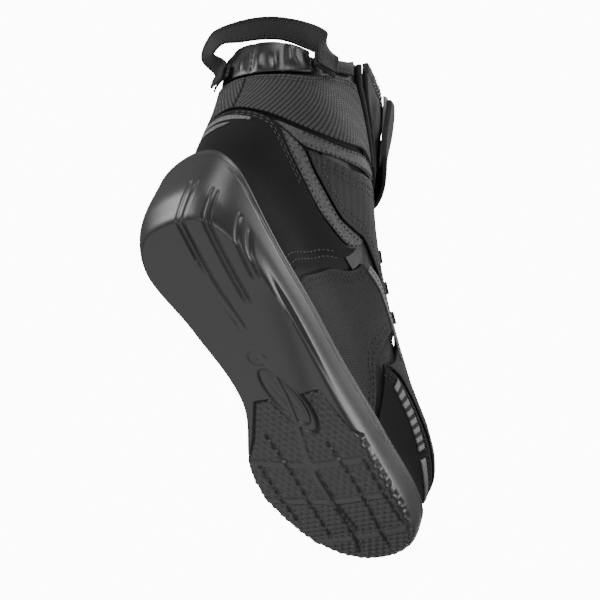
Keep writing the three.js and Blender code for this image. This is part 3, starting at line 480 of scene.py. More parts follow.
def speckled(name, dark, light, rough, size):
    """Grainy reflective film: bright beads in a darker coat."""
    t = Tree(name)
    beads = t.ramp(t.cells(size), 0.15, 0.55, 1.0, 0.0)
    cloud = t.ramp(t.noise(size * 1.7, 5.0, 0.7), 0.42, 0.62)
    drift = t.ramp(t.noise(30, 2.0), 0.3, 0.7, 0.85, 1.1)
    value = t.times(t.plus(t.times(beads, 0.35), t.times(cloud, 0.65)), drift, True)
    t.bump(value, 0.12)
    return t.finish(t.mix(value, dark, light), t.ramp(value, 0, 1, rough + 0.15, rough - 0.08), 0.15)


def barred(name, dark, light, pitch, share):
    """Beaded bars across a strip, a share of the pitch wide."""
    t = Tree(name)
    x = t.math("FRACT", t.math("DIVIDE", t.uv()[0], pitch))
    on = t.times(t.ramp(x, 0.02, 0.10), t.ramp(x, share + 0.06, share - 0.02), True)
    value = t.times(on, t.ramp(t.cells(0.7), 0.15, 0.55, 1.0, 0.6), True)
    t.bump(value, 0.2)
    return t.finish(t.mix(value, dark, light), t.ramp(value, 0, 1, 0.8, 0.42), 0.1)


BAR_PITCH, BAR_SHARE = 6.2, 0.62
RUBBER = grain("sole_rubber", 34, 44, 0.38, 1.1, 0.03, 60)
TREAD = grain("tread_rubber", 32, 44, 0.38, 0.9, 0.04, 50)
SUEDE = grain("suede", 4, 12, 0.92, 0.6, 0.14, 18, sheen=0.04, specular=0.2)
LEATHER = grain("smooth_leather", 12, 20, 0.4, 1.4, 0.05, 30, pits=1.0)
OVERLAY = weave("coated_overlay", 4, 10, 0.6, 1.1, 0.8, 0.06, sheen=0.02)
MESH_CLOTH = weave("collar_mesh_cloth", 3, 70, 0.7, 2.2, 1.2, 0.35, slant=0.6, sheen=0.05, holes=0.22)
QUARTER = weave("quarter_mesh_cloth", 2, 26, 0.7, 1.7, 1.0, 0.28, slant=-0.4, sheen=0.04, holes=0.15)
VAMP = weave("vamp_cloth", 3, 28, 0.75, 1.5, 1.0, 0.2, slant=0.3, sheen=0.04, holes=0.1)
LINING = weave("lining_knit", 14, 40, 0.9, 1.3, 0.9, 0.2, sheen=0.1)
WEBBING = weave("webbing_twill", 6, 30, 0.65, 1.6, 0.8, 0.2, slant=1.0, sheen=0.03)
BINDING = weave("binding_tape", 5, 16, 0.7, 0.9, 0.6, 0.1, sheen=0.02)
REFLECTOR = speckled("reflective_film", 34, 72, 0.5, 0.8)
BAR = speckled("reflective_bar", 70, 120, 0.45, 0.7)
TPU_GREY = grain("moulded_grey", 76, 88, 0.46, 0.8, 0.03, 50)
TPU_BLACK = grain("moulded_black", 12, 20, 0.36, 0.9, 0.03, 30)
FOAM = grain("foam", 70, 92, 0.95, 0.9, 0.25, 25)
BOARD = grain("fibre_board", grey(120, 0.12), grey(150, 0.15), 0.9, 1.6, 0.1, 20)
STEEL = grain("steel", 150, 175, 0.32, 0.7, 0.02, 20, metallic=1.0)
CABLE = grain("coated_cable", 20, 34, 0.4, 0.7, 0.02, 20)
THREAD_DARK = grain("thread_dark", 10, 20, 0.7, 0.4, 0.04, 8)
THREAD_GREY = grain("thread_grey", 36, 56, 0.6, 0.4, 0.04, 8)
THREAD_PALE = grain("thread_pale", 110, 140, 0.6, 0.4, 0.04, 8)
FLOOR = grain("floor", (0.80, 0.80, 0.80, 1), (0.82, 0.82, 0.82, 1), 0.7, 30, 0.02, 300)
TOE_BARS = barred("toe_bars", 14, 104, BAR_PITCH, BAR_SHARE)


def recolour(node, material):
    """Gives one of the frame's own pieces its material."""
    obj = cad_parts[node]
    obj.data.materials.clear()
    obj.data.materials.append(material)
    return obj


recolour("midsole", FOAM)
recolour("shank", STEEL)
recolour("insole_board", BOARD)
recolour("lace_cable", CABLE)
for piece in ("heel_stiffener", "toe_puff", "ankle_protector_lateral", "ankle_protector_medial", "dial_spool",
              "collar_foam_lateral", "collar_foam_medial"):
    recolour(piece, TPU_BLACK)


# ---- sole
def to_segment(a, b, x, y):
    """Distance from every (x, y) to the line from a to b, and how far along it the nearest place is."""
    d = b - a
    t = np.clip(((x - a[0]) * d[0] + (y - a[1]) * d[1]) / max(d @ d, 1e-9), 0, 1)
    return np.hypot(x - a[0] - t * d[0], y - a[1] - t * d[1]), t


def distance_to(points, x, y, parts=59):
    """The same for a smooth line through the points."""
    line = along(points, np.linspace(0, 1, parts + 1))
    best, where = np.full(x.shape, 1e9), np.zeros(x.shape)
    for k in range(parts):
        gap, t = to_segment(line[k], line[k + 1], x, y)
        near = gap < best
        best, where = np.where(near, gap, best), np.where(near, (k + t) / parts, where)
    return best, where


def inside(polygon, x, y):
    """Signed distance to a closed polygon, positive inside."""
    p = np.asarray(polygon, float)
    best, odd = np.full(x.shape, 1e9), np.zeros(x.shape, bool)
    for a, b in zip(p, np.roll(p, -1, axis=0)):
        best = np.minimum(best, to_segment(a, b, x, y)[0])
        if abs(b[1] - a[1]) > 1e-9:
            odd ^= ((a[1] > y) != (b[1] > y)) & (x < a[0] + (y - a[1]) * (b[0] - a[0]) / (b[1] - a[1]))
    return np.where(odd, best, -best)


def hump(d, width):
    """1 at the middle, falling away smoothly over the width."""
    return np.exp(-(d / width) ** 2)


def spine_of(edge, low, high):
    """The middle line inside a foot-shaped loop, held between two lengths, with a place for each point."""
    half = len(edge) // 2
    lateral, medial = edge[:half + 1], edge[half:][::-1]
    x = np.clip(edge[:, 0], low, high)
    order = np.argsort(medial[:, 0])
    y = (np.interp(x, lateral[:, 0], lateral[:, 1]) + np.interp(x, medial[order, 0], medial[order, 1])) / 2
    return np.stack([x, y], -1)


RIBS = [
    [(-3.8, -13.7), (2.3, -6.5), (10.3, -0.9), (19, 0.8), (55.8, 1.6), (94.8, -1.1)],
    [(-2.7, -18), (3.4, -10.8), (11.1, -5.2), (19.8, -3), (57.2, -1.9), (96.2, -4.6)],
    [(4.4, -23.4), (10.3, -18.3), (18.9, -16), (46.9, -14.3), (76.5, -14.1)],
    [(5.8, -27.6), (11.4, -22.5), (20.3, -19.4), (48.3, -17.7), (77.9, -17.6)],
    [(13.8, -38.6), (25.9, -31.6), (45.3, -28.3), (61.6, -27.4)],
    [(17.2, -40.9), (26.9, -36), (44, -33.1), (61.2, -32)],
]
SCOOP = [(64, -44), (90, -36), (118, -31), (150, -25), (172, -20)]
STUD = (118.2, -0.9)
CELL_LONG, CELL_WIDE = 4.3, 5.0
BADGE = (150.0, -4.0, 47.0, 17.0, -13.5)  # middle, length, width and turn in degrees
TREAD_EDGE = [(150, 17.5), (150.5, -27.5), (163, -31), (176, -34.2), (188, -38), (199, -45), (215, -60),
              (330, -60), (330, 60), (200, 60), (190, 42), (178, 33)]
RIDGES = [
    [(194, 48), (196.8, 41.1), (204.2, 7.1), (205.6, -16.4), (205.1, -32.9), (201.3, -44.5)],
    [(225, 54), (227.8, 47.1), (236.1, 4.9), (236.3, -17.2), (236.2, -32.2), (230.4, -45.6)],
    [(271, 36), (271.8, 25.3), (272.4, 10.3), (271.2, -11.4), (269.1, -28.3), (266, -38)],
]
GROOVES = [
    [(176.7, 22.8), (200.3, 20.3), (232.5, 20.3), (268.8, 23.6)],
    [(188.9, -14.7), (205.7, -17.1), (236.3, -17.2), (270.2, -11.9), (285.3, -9.2)],
    [(210.6, 3.9), (236.1, 4.9), (271.7, 8.4), (288.8, 13.9)],
    [(198.9, 38.5), (229.5, 37.7), (249.7, 37)],
    [(205.1, -32.9), (236.2, -32.2), (265.4, -31)],
]


def badge_place(x, y):
    cx, cy, length, width, turn = BADGE
    c, s = math.cos(math.radians(turn)), math.sin(math.radians(turn))
    u = ((x - cx) * c + (y - cy) * s) / (length / 2)
    v = (-(x - cx) * s + (y - cy) * c) / (width / 2)
    return (1 - np.hypot(u, v)) * width / 2


def step(d, width):
    t = np.clip(d / width + 0.5, 0, 1)
    return t * t * (3 - 2 * t)


def tread_mask(x, y):
    return np.minimum(inside(TREAD_EDGE, x, y), -badge_place(x, y) - 2.0)


def knobs(x, y):
    """The tread's small blocks, in staggered rows: 0 on top, down to -0.9 between them."""
    row = np.floor(x / CELL_LONG)
    u, v = y / CELL_WIDE + 0.5 * (row % 2), x / CELL_LONG
    block = 1 - 1.6 * np.maximum(np.abs(u - np.floor(u) - 0.5), np.abs(v - np.floor(v) - 0.5))
    return -0.9 + 0.9 * np.clip(block * 1.35 - 0.25, 0, 1)


def sole_relief(x, y, side):
    """Height of the sole's pattern, in mm out of the rubber. side is 0 on the flat and 1 up the wall."""
    h = np.zeros(x.shape)
    deep = 0.5 + 0.6 * step(x - 17, 9)
    for rib in RIBS:
        d, t = distance_to(rib, x, y)
        fade = step(0.5 - np.abs(t - 0.5), 0.06)
        h -= deep * hump(d, 0.85) * fade
        h += 0.05 * hump(d - 1.7, 0.7) * fade
    h -= 2.2 * hump(distance_to(SCOOP, x, y)[0], 8) * step(x - 70, 40) * step(165 - x, 30)
    r = np.hypot(x - STUD[0], y - STUD[1])
    h -= 0.7 * hump(r - 5.4, 0.6) + 0.5 * hump(r, 1.4) + 0.35 * hump(r - 3.3, 0.45)
    b = badge_place(x, y)
    h += 0.35 * hump(b + 1.1, 0.6) - 1.1 * step(b, 0.7)
    m = tread_mask(x, y)
    h -= 1.6 * hump(m - 0.6, 0.55)
    pattern = knobs(x, y)
    for ridge in RIDGES:
        d = distance_to(ridge, x, y)[0]
        near = step(2.6 - d, 1.2)
        pattern = pattern * (1 - near) + 0.15 * near * (1 - 0.25 * (d / 2.6) ** 2)
    for groove in GROOVES:
        d, t = distance_to(groove, x, y)
        pattern = pattern - 1.3 * hump(d, 1.1) * step(0.5 - np.abs(t - 0.5), 0.05)
    h += pattern * step(m - 1.4, 0.8)
    return h * (1 - side)


def build_sole():
    count, inner = 1008, 46
    ang = np.arange(count) * 360 / count
    lobe = heel_lobe(ang)
    zero = np.zeros(count)
    keys = [(9 + 14 * lobe, zero + 1.6 + 3.8 * lobe), (4.2 + (HEEL_BEVEL + 0.8) * lobe, zero),
            (1.4 + 5.6 * lobe, 3.5 + 6 * lobe), (0.2 + 2.6 * lobe, 11 + 11 * lobe)]
    edge = outline(ang, keys[1][0])
    spine = spine_of(edge, 44, 262)
    rings, side = [], []
    for s in np.linspace(0, 1, inner):
        p = spine + (edge - spine) * s
        rings.append(np.column_stack([p, ground(p[:, 0])]))
        side.append(zero)
    floor_z = ground(outline(ang, RIM_INSET)[:, 0])
    rim = RIM_HEIGHT + 0.9 * floor_z + (HEEL_CUP - RIM_HEIGHT) * lobe
    keys.append((RIM_INSET + zero, rim - floor_z))
    keys.append((2 * keys[-1][0] - keys[-2][0], 2 * keys[-1][1] - keys[-2][1]))
    for segment, steps in ((0, 9), (1, 10), (2, 22)):
        for t in (np.arange(steps) + 1) / steps:
            w = cubic(np.array(t))
            inset, height = (sum(w[k] * keys[segment + k][c] for k in range(4)) for c in (0, 1))
            p = outline(ang, inset)
            z = ground(p[:, 0]) + np.maximum(height, 0)
            rings.append(np.column_stack([p, z]))
            welt = hump(rim - z - 2.6, 0.5) + hump(rim - z - 4.6, 0.5)
            flat = np.clip((height - 3 - 30 * lobe) / (2 + 6 * lobe), 0, 1)
            side.append(np.where(segment == 2, 1 + 0.6 * welt, flat))
    for inset, up in ((1.5, 0.35), (2.4, 0.55), (3.4, 0.3), (4.2, -0.7), (4.2, -9.0)):
        rings.append(np.column_stack([outline(ang, inset), rim + up]))
        side.append(zero + 1)
    p, side = np.array(rings), np.array(side)
    n = -unit(np.cross(np.gradient(p, axis=0), np.roll(p, -1, axis=1) - np.roll(p, 1, axis=1)))
    # By the middle line the normals point up, so the clip below leaves the pattern out of the flat sole there.
    n[:3] = [0, 0, 1]
    welt = np.clip(side - 1, 0, None)
    h = sole_relief(p[..., 0], p[..., 1], np.clip(side, 0, 1)) - welt * 0.8
    p = p + n * h[..., None]
    p[..., 2] = np.maximum(p[..., 2], 0.0)
    flat = p.reshape(-1, 3)
    faces = grid_faces(len(rings), count, wrap=True)
    middle = flat[faces].mean(1)
    low = np.repeat(np.arange(len(rings) - 1) < inner + 12, count)
    tread = (tread_mask(middle[:, 0], middle[:, 1]) > 0.6) & low
    for name, chosen, material, node in (("outsole_shell", ~tread, RUBBER, "outsole"),
                                         ("forefoot_tread_field", tread, TREAD, "forefoot_tread")):
        used, remap = np.unique(faces[chosen], return_inverse=True)
        add_mesh(name, flat[used], remap.reshape(-1, 4), material, "boot", (node,))


def build_badge():
    rings, per = 14, 72
    cx, cy, length, width, turn = BADGE
    c, s = math.cos(math.radians(turn)), math.sin(math.radians(turn))
    points = []
    for r in np.linspace(0.02, 1, rings):
        for w in np.linspace(0, 2 * np.pi, per, endpoint=False):
            u, v = (length / 2 - 0.6) * r * math.cos(w), (width / 2 - 0.6) * r * math.sin(w)
            dip = 0.35 * math.exp(-((r - 0.86) / 0.05) ** 2)
            bars = 0.25 * math.exp(-((abs(v) - 2.2) / 0.7) ** 2) * (1 if abs(u) < 12 else 0)
            z = 0.45 + dip + bars + (0.5 if r > 0.97 else 0)
            points.append([cx + u * c - v * s, cy + u * s + v * c, z])
    faces = grid_faces(rings, per, wrap=True).tolist() + [list(range(per))]
    add_mesh("sole_badge_plate", np.array(points), faces, TREAD, "boot", ("sole_badge",))


build_sole()
build_badge()


# ---- bootie and footbed
BOOTIE_TOP = np.array([5.85, 5.95, 6.15, 6.3, 6.2, 5.9, 5.6, 5.45, 5.4, 5.45, 5.6, 5.9, 6.2, 6.3, 6.15, 5.95])


def build_bootie():
    count, bands, low = 144, 40, 0.12
    ang = np.arange(count) * 360 / count
    top = around(BOOTIE_TOP, ang)
    lobe = heel_lobe(ang)
    levels = [low + (top - low) * k / bands for k in range(1, bands + 1)]
    rings = [np.column_stack([outline(ang, UPPER_INSET + 0.5 + 3 * lobe), np.full(count, 15.9)])]
    rings += [shell(ang, level, -0.9) for level in levels]
    rings += [shell(ang, top + up, off) for up, off in ((0.03, -1.3), (0.045, -2.0), (0.03, -2.7))]
    rings += [shell(ang, level, -3.1) for level in levels[::-1]]
    rings.append(np.column_stack([outline(ang, UPPER_INSET + 2.7 + 3 * lobe), np.full(count, 18.1)]))
    p = np.array(rings)
    uv = cloth_uv((np.arange(count) * 700 / count)[None], run_along(p[:, 36])[:, None])
    add_mesh("bootie_knit", p.reshape(-1, 3), grid_faces(len(rings), count, wrap=True), LINING, "boot",
             ("bootie_lining",), uv)


def build_footbed():
    count, rings, top = 120, 22, 22.6
    ang = np.arange(count) * 360 / count
    edge = outline(ang, UPPER_INSET + 3.4 + 3 * heel_lobe(ang))
    spine = spine_of(edge, 40, 262)
    points = []
    for s in np.linspace(0, 1, rings):
        p = spine + (edge - spine) * s
        crown = top + 0.8 * s ** 4 - (3.0 if s == 1 else 0)
        points.append(np.column_stack([p, ground(p[:, 0]) + crown]))
    p = np.array(points)
    faces = grid_faces(rings, count, wrap=True)[:, ::-1]
    add_mesh("footbed_cover", p.reshape(-1, 3), faces, LINING, "boot", ("footbed",),
             p[..., :2].reshape(-1, 2))


build_bootie()
build_footbed()


# ---- padding
def inflate(name, points, held, cap):
    """Swells a sheet of points by about cap between its held places, by a cloth simulation."""
    rows, cols = points.shape[:2]
    flat = points.reshape(-1, 3)
    rest = place(flat)
    out = unit(np.cross(np.gradient(points, axis=1), np.gradient(points, axis=0)).reshape(-1, 3))
    if ((flat - [60.0, 0.0, flat[:, 2].mean()]) * out).sum() < 0:
        out = -out
    mesh = bpy.data.meshes.new(name + "_rest")
    faces = grid_faces(rows, cols)
    a, b, c = rest[faces[0][:3]]
    if np.dot(np.cross(b - a, c - a), out[faces[0][0]]) < 0:
        faces = faces[:, ::-1]
    mesh.from_pydata(rest.tolist(), [], faces.tolist())
    obj = new_object(name + "_rest", mesh)
    group = obj.vertex_groups.new(name="held")
    group.add([int(k) for k in np.flatnonzero(held.ravel())], 1.0, "REPLACE")
    cloth = obj.modifiers.new("cloth", "CLOTH")
    s = cloth.settings
    s.quality = 6
    s.mass = 0.15
    s.tension_stiffness = s.compression_stiffness = 12
    s.shear_stiffness = 5
    s.bending_stiffness = 0.4
    s.use_pressure = True
    s.uniform_pressure_force = 4.0
    s.effector_weights.gravity = 0
    s.vertex_group_mass = "held"
    cloth.collision_settings.use_collision = False
    cloth.point_cache.frame_start, cloth.point_cache.frame_end = 1, 20
    scene = bpy.context.scene
    for k in range(1, 21):
        scene.frame_set(k)
    graph = bpy.context.evaluated_depsgraph_get()
    made = np.array([v.co for v in obj.evaluated_get(graph).data.vertices], float)
    scene.frame_set(1)
    bpy.data.objects.remove(obj)
    move = np.clip(((made - rest) * out).sum(1).reshape(rows, cols) * 1000, 0, None)
    top = np.percentile(move, 97)
    move = np.minimum(move * (cap / top) if top > 1e-6 else move, cap * 1.05)
    return points + out.reshape(points.shape) * move[..., None]


def padded_panel(name, lower, upper, material, inner, base, cap, seams=(), pitch=1.6, medial=False,
                 body="boot", nodes=()):
    """A padded panel: a sheet at base, swelled by cap between its edges and seams, closed to inner."""
    net, length, height, s, t = panel_net(lower, upper, pitch, medial=medial)
    u = np.broadcast_to(s[None] * length, net.shape[:2])
    v = np.broadcast_to(t[:, None] * height, net.shape[:2])
    held = (u < 1) | (u > length - 1) | (v < 1) | (v > height - 1)
    sunk = edge_drop(s, t, length, height, 0.6, 0.9)
    for seam in seams:
        held = held | (np.abs(u - seam * length) < 0.9)
        sunk = sunk + 0.7 * hump(u - seam * length, 0.8)
    top = inflate(name, shell(net[..., 0], net[..., 1], base - sunk), held, cap)
    under = shell(net[..., 0], net[..., 1], inner)
    rows, cols = top.shape[:2]
    index = border(rows, cols)
    back = grid_faces(rows, cols, base=rows * cols)[:, ::-1]
    faces = np.vstack([grid_faces(rows, cols), skirt(index, rows * cols + index), back])
    if medial:
        faces = faces[:, ::-1]
    points = np.vstack([top.reshape(-1, 3), under.reshape(-1, 3)])
    obj = add_mesh(name, points, faces, material, body, nodes, np.tile(cloth_uv(u, v), (2, 1)))
    return obj


# ---- outer panels
FEATHER = 0.3
ARM_TOP = [(26, 3.75), (44, 4.12), (70, 4.65), (95, 5.2), (120, 5.5)]
ARM_LOW = [(34, 3.72), (48, 3.82), (66, 4.3), (88, 4.8), (118, 5.35)]
LOWER_ARM_REAR = [(30, 3.66), (40, 3.3), (52, 3.05), (64, 2.95), (80, 3.2), (92, 3.65)]
LOWER_ARM_FRONT = [(38, 3.7), (48, 3.72), (57, 3.5), (74, 3.42), (88, 3.68), (95, 3.85)]
MESH_LOW = [(0, 3.95), (22, 3.88), (44, 4.2), (70, 4.74), (94, 5.27), (115, 5.52)]
MESH_TOP = [(0, 5.1), (20, 5.2), (44, 5.5), (60, 5.88), (74, 6.22), (85, 6.42)]
QUARTER_REAR = [(66, FEATHER), (67.5, 1.3), (73, 2.2), (83, 2.8), (95, 3.5)]
QUARTER_FRONT = [(112, FEATHER), (106, 1.25), (101, 1.9), (108, 2.75), (124, 3.62)]
BINDING_LINE = [(84.5, 7.02), (87, 6.72), (91, 6.46), (99, 6.2), (109, 5.9), (119.5, 5.6)]
FLAP_EDGE = [(127, 5.66), (116, 5.95), (106, 6.22), (97.5, 6.5), (92, 6.85), (90, 7.3)]
TONGUE_EDGE = [(152, 3.7), (151.5, 4.1), (151, 4.5), (147, 4.85), (139, 5.16), (132, 5.36), (129, 5.5)]


INSTEP_LOW = [(50, 3.78), (58, 3.56), (74, 3.48), (88, 3.74), (100, 3.92), (126, 3.8), (147, 3.75)]
INSTEP_TOP = [(52, 3.88), (66, 4.22), (80, 4.55), (98, 4.95), (118, 5.28), (134, 5.14), (147, 4.5)]
TOE_SIDE_LOW = [(108, 1.35), (114, FEATHER), (128, FEATHER), (144, FEATHER), (159, FEATHER)]
TOE_SIDE_TOP = [(103.5, 2.0), (114, 2.2), (130, 1.95), (145, 1.7), (159, 1.5)]
EYESTAY_LOW = [(97, 3.44), (108, 3.5), (116, 3.3), (119, 2.9)]
EYESTAY_TOP = [(99, 3.62), (110, 3.72), (120, 3.5), (121, 2.9)]


def bars(pitch, share, depth):
    def relief(u, v, length, height):
        return -depth * hump(u / pitch - np.floor(u / pitch) - 0.5 - share / 2, 0.12)
    return relief


def ribbed(pitch, depth, slant=0.0):
    def relief(u, v, length, height):
        edge = np.clip(np.minimum(np.minimum(u, length - u), np.minimum(v, height - v)) / 2, 0, 1)
        return depth * np.sin(2 * np.pi * (u + slant * v) / pitch) * edge
    return relief


def between(lower, upper, share):
    """The row of points a share of the way from one line to the other."""
    return [tuple((1 - share) * np.array(a) + share * np.array(b)) for a, b in zip(lower, upper)]


def over(lower, upper, share, heights):
    """Points from the lower line to the upper one, at a share of their length."""
    a, b = along(lower, np.array(share)), along(upper, np.array(share))
    return [tuple(a + (b - a) * k) for k in heights]


def moved(points, turn=0.0, rise=0.0):
    return [(a + turn, v + rise) for a, v in points]


BAND = {"inner": BAND_IN, "outer": BAND_OUT}
# Name, the CAD piece it replaces, slot, material, lower and upper line, and its own sizes.
SIDE_PANELS = [
    ("collar_cloth", "collar_mesh", "mesh_cloth", MESH_CLOTH, MESH_LOW, MESH_TOP,
     {"pitch": 1.4, "outer": 3.0, "relief": ribbed(3.4, 0.22, 0.9)}),
    ("upper_arm", "reflector_upper_arm", "reflector", REFLECTOR, ARM_LOW, ARM_TOP, {"pitch": 1.6}),
    ("lower_arm", "reflector_lower_arm", "reflector", REFLECTOR, LOWER_ARM_REAR, LOWER_ARM_FRONT,
     {"pitch": 1.2}),
    ("instep_cover", "instep_overlay", "overlay", OVERLAY, INSTEP_LOW, INSTEP_TOP,
     {"relief": ribbed(9.0, 0.2, 0.5)}),
    ("quarter_cloth", "quarter_mesh", "mesh_cloth", QUARTER, QUARTER_REAR, QUARTER_FRONT,
     {"pitch": 1.5, "relief": ribbed(3.0, 0.18, -0.3)}),
    ("toe_side", "toe_side_panel", "suede", SUEDE, TOE_SIDE_LOW, TOE_SIDE_TOP, {}),
    ("eyestay_band", "eyestay_stripe", "tpu_grey", TPU_GREY, EYESTAY_LOW, EYESTAY_TOP,
     {"pitch": 1.2, **BAND}),
    ("toe_bars", "toe_bar_strip", "reflector", TOE_BARS, [(109, 1.8), (116, 1.72), (123, 1.6), (130, 1.45)],
     [(110, 2.1), (118, 1.98), (125, 1.84), (132, 1.68)],
     {"pitch": 0.8, "relief": bars(BAR_PITCH, BAR_SHARE, 0.5), **BAND}),
    ("toe_band", "toe_strip", "tpu_grey", TPU_GREY, [(132, 1.4), (142, 1.25), (156, 1.12)],
     [(134, 1.6), (144, 1.45), (157, 1.34)], {"pitch": 1.2, **BAND}),
    ("collar_backing", None, "leather", LEATHER, [(46, 5.4), (60, 5.7), (74, 6.0), (86, 6.2), (95, 6.15)],
     [(48, 6.08), (60, 6.42), (71, 6.74), (81, 7.02), (92, 7.2)], {"inner": -0.6, "outer": 0.4}),
]
SEWN = 2.9  # how far stitches lie over the pattern surface on a panel
FINE, BEADED = {"length": 1.2, "gap": 2.4, "radius": 0.4}, {"length": 1.6, "gap": 2.2}


def build_side(side):
    m = side == "medial"
    for name, node, slot, material, lower, upper, sizes in SIDE_PANELS:
        nodes = (f"{node}_{side}",) if node else ()
        panel(f"{name}_{side}", lower, upper, material, medial=m, nodes=nodes, slot=slot, **sizes)
    padded_panel(f"collar_roll_{side}", [(60, 5.97), (67, 6.14), (75, 6.33), (82.5, 6.55)],
                 [(60, 6.36), (66, 6.52), (73, 6.72), (79, 6.98)], OVERLAY, PANEL_IN, 3.1, 1.2, medial=m,
                 nodes=(f"collar_rim_{side}",))
    line = along(mirrored(BINDING_LINE) if m else BINDING_LINE, np.linspace(0, 1, 44))
    tube(f"collar_tape_{side}", shell(line[:, 0], line[:, 1], 2.4), 1.9, BINDING, f"collar_binding_{side}")


def stitch_side(m):
    """The rows of stitches on one side's panels; most rows are double."""
    for share in (0.16, 0.84):
        stitch(between(ARM_LOW, ARM_TOP, share)[1:], SEWN, "dark", medial=m, radius=0.42, **BEADED)
        stitch(between(LOWER_ARM_REAR, LOWER_ARM_FRONT, share), SEWN, "dark", medial=m, radius=0.4, **BEADED)
    for gap in (0.10, 0.20):
        stitch(moved([(60, 3.56), (74, 3.5), (88, 3.78), (100, 3.95), (126, 3.85)], rise=gap), SEWN + 0.05,
               "grey", medial=m, **FINE)
        stitch(moved([(56, 3.9), (66, 4.18), (80, 4.5), (98, 4.9), (118, 5.22)], rise=-gap), SEWN + 0.05,
               "grey", medial=m, **FINE)
        stitch(moved(QUARTER_REAR, 18 * gap), SEWN + 0.05, "dark", medial=m)
        stitch(moved(QUARTER_FRONT, -18 * gap), SEWN + 0.05, "dark", medial=m)
        stitch(moved(MESH_TOP, rise=-0.8 * gap), SEWN + 0.2, "grey", medial=m, length=2.2, gap=1.2,
               radius=0.36)
        stitch(moved([(63, 0.5), (64.5, 1.3), (71, 2.2), (79, 2.7)], -24 * gap), SEWN, "grey", medial=m)
        stitch(moved([(3, 3.83), (14, 3.8), (24, 3.72), (36, 3.36), (50, 3.04)], rise=-gap), SEWN, "grey",
               medial=m)
        stitch(moved([(104.5, 1.98), (114, 2.17), (130, 1.92), (145, 1.67), (158, 1.48)], rise=-0.9 * gap),
               SEWN, "dark", medial=m)
    stitch([(98, 3.53), (109, 3.61), (118, 3.4), (120, 2.92)], BAND_OUT, "dark", medial=m, length=1.4,
           gap=2.0, radius=0.3)
    stitch([(62, 6.08), (68, 6.22), (75, 6.4), (81, 6.6)], 3.3, "grey", medial=m)


for side in ("lateral", "medial"):
    build_side(side)
    stitch_side(side == "medial")

panel("heel_counter_nap",
      wrap_back([(0, FEATHER), (22, FEATHER), (44, FEATHER), (62, FEATHER), (63.5, 1.3), (70, 2.3),
                 (80, 2.9)]),
      wrap_back([(0, 3.85), (26, 3.7), (40, 3.26), (52, 3.02), (64, 2.92), (78, 3.1), (89, 3.5)]), SUEDE,
      nodes=("heel_counter_panel",), slot="suede", pitch=2.2)
panel("vamp_cloth",
      wrap_front([(106, 2.12), (115, 2.28), (130, 2.03), (145, 1.78), (162, 1.58), (180, 1.54)]),
      wrap_front([(127, 3.66), (132, 3.68), (140, 3.68), (150, 3.66), (164, 3.6), (180, 3.58)]), VAMP,
      nodes=("vamp",), slot="mesh_cloth", relief=ribbed(7.0, 0.12))
panel("toe_cap_nap", wrap_front([(161, FEATHER), (170, FEATHER), (180, FEATHER)]),
      wrap_front([(161, 1.5), (170, 1.46), (180, 1.46)]), SUEDE, nodes=("toe_cap",), slot="suede")
padded_panel("achilles_cushion", wrap_back([(0, 5.16), (20, 5.26), (36, 5.45), (48, 5.66)]),
             wrap_back([(0, 6.1), (20, 6.15), (34, 6.2), (46, 6.2)]), LEATHER, PANEL_IN, 3.0, 2.3,
             seams=(0.30, 0.52, 0.72), nodes=("achilles_pad",), pitch=1.3)
padded_panel("tongue_pad", TONGUE_EDGE, mirrored(TONGUE_EDGE), VAMP, 0.8, 2.3, 1.0, nodes=("tongue",),
             pitch=2.0)
padded_panel("shin_flap_pad", FLAP_EDGE, mirrored(FLAP_EDGE), OVERLAY, 0.6, 4.6, 2.0, body="shin_flap",
             nodes=("shin_flap",), pitch=2.0, seams=(0.30, 0.88))

for a in (-19.5, -1.5, 2.5, 17):
    line = along([(a, 5.26), (a, 5.6), (a, 6.02)], np.linspace(0, 1, 30))
    stitch_points(shell(line[:, 0], line[:, 1], 2.7), normal(line[:, 0], line[:, 1]), "dark")

for level, lower, upper in (
        ("upper", [(-13, 3.24), (0, 3.32), (15, 3.4)], [(-15, 3.45), (0, 3.56), (15, 3.5)]),
        ("lower", [(-12, 2.88), (-4, 2.98), (3, 3.1)], [(-13, 3.13), (-3, 3.2), (6, 3.25)])):
    panel(f"heel_bar_{level}", lower, upper, BAR, pitch=0.8, slot="reflector",
          nodes=(f"heel_mark_{level}",), **BAND)


# ---- shin flap, plate and strap
def plate_relief(u, v, length, height):
    x, y = u / length, v / height
    dome = 0.5 * np.sin(np.pi * np.clip(x, 0, 1)) * np.sin(np.pi * np.clip(y, 0, 1))
    lines = sum(0.7 * hump(x - k - 0.10 * y, 0.035) for k in (0.3, 0.5, 0.7))
    return dome - lines * step(y - 0.22, 0.1) * step(0.8 - y, 0.1)


def strap_relief(u, v, length, height):
    d = np.minimum(np.minimum(u, length - u), np.minimum(v, height - v))
    return -0.35 * hump(d - 3.0, 0.7) - 0.25 * hump(d - 5.2, 0.6)


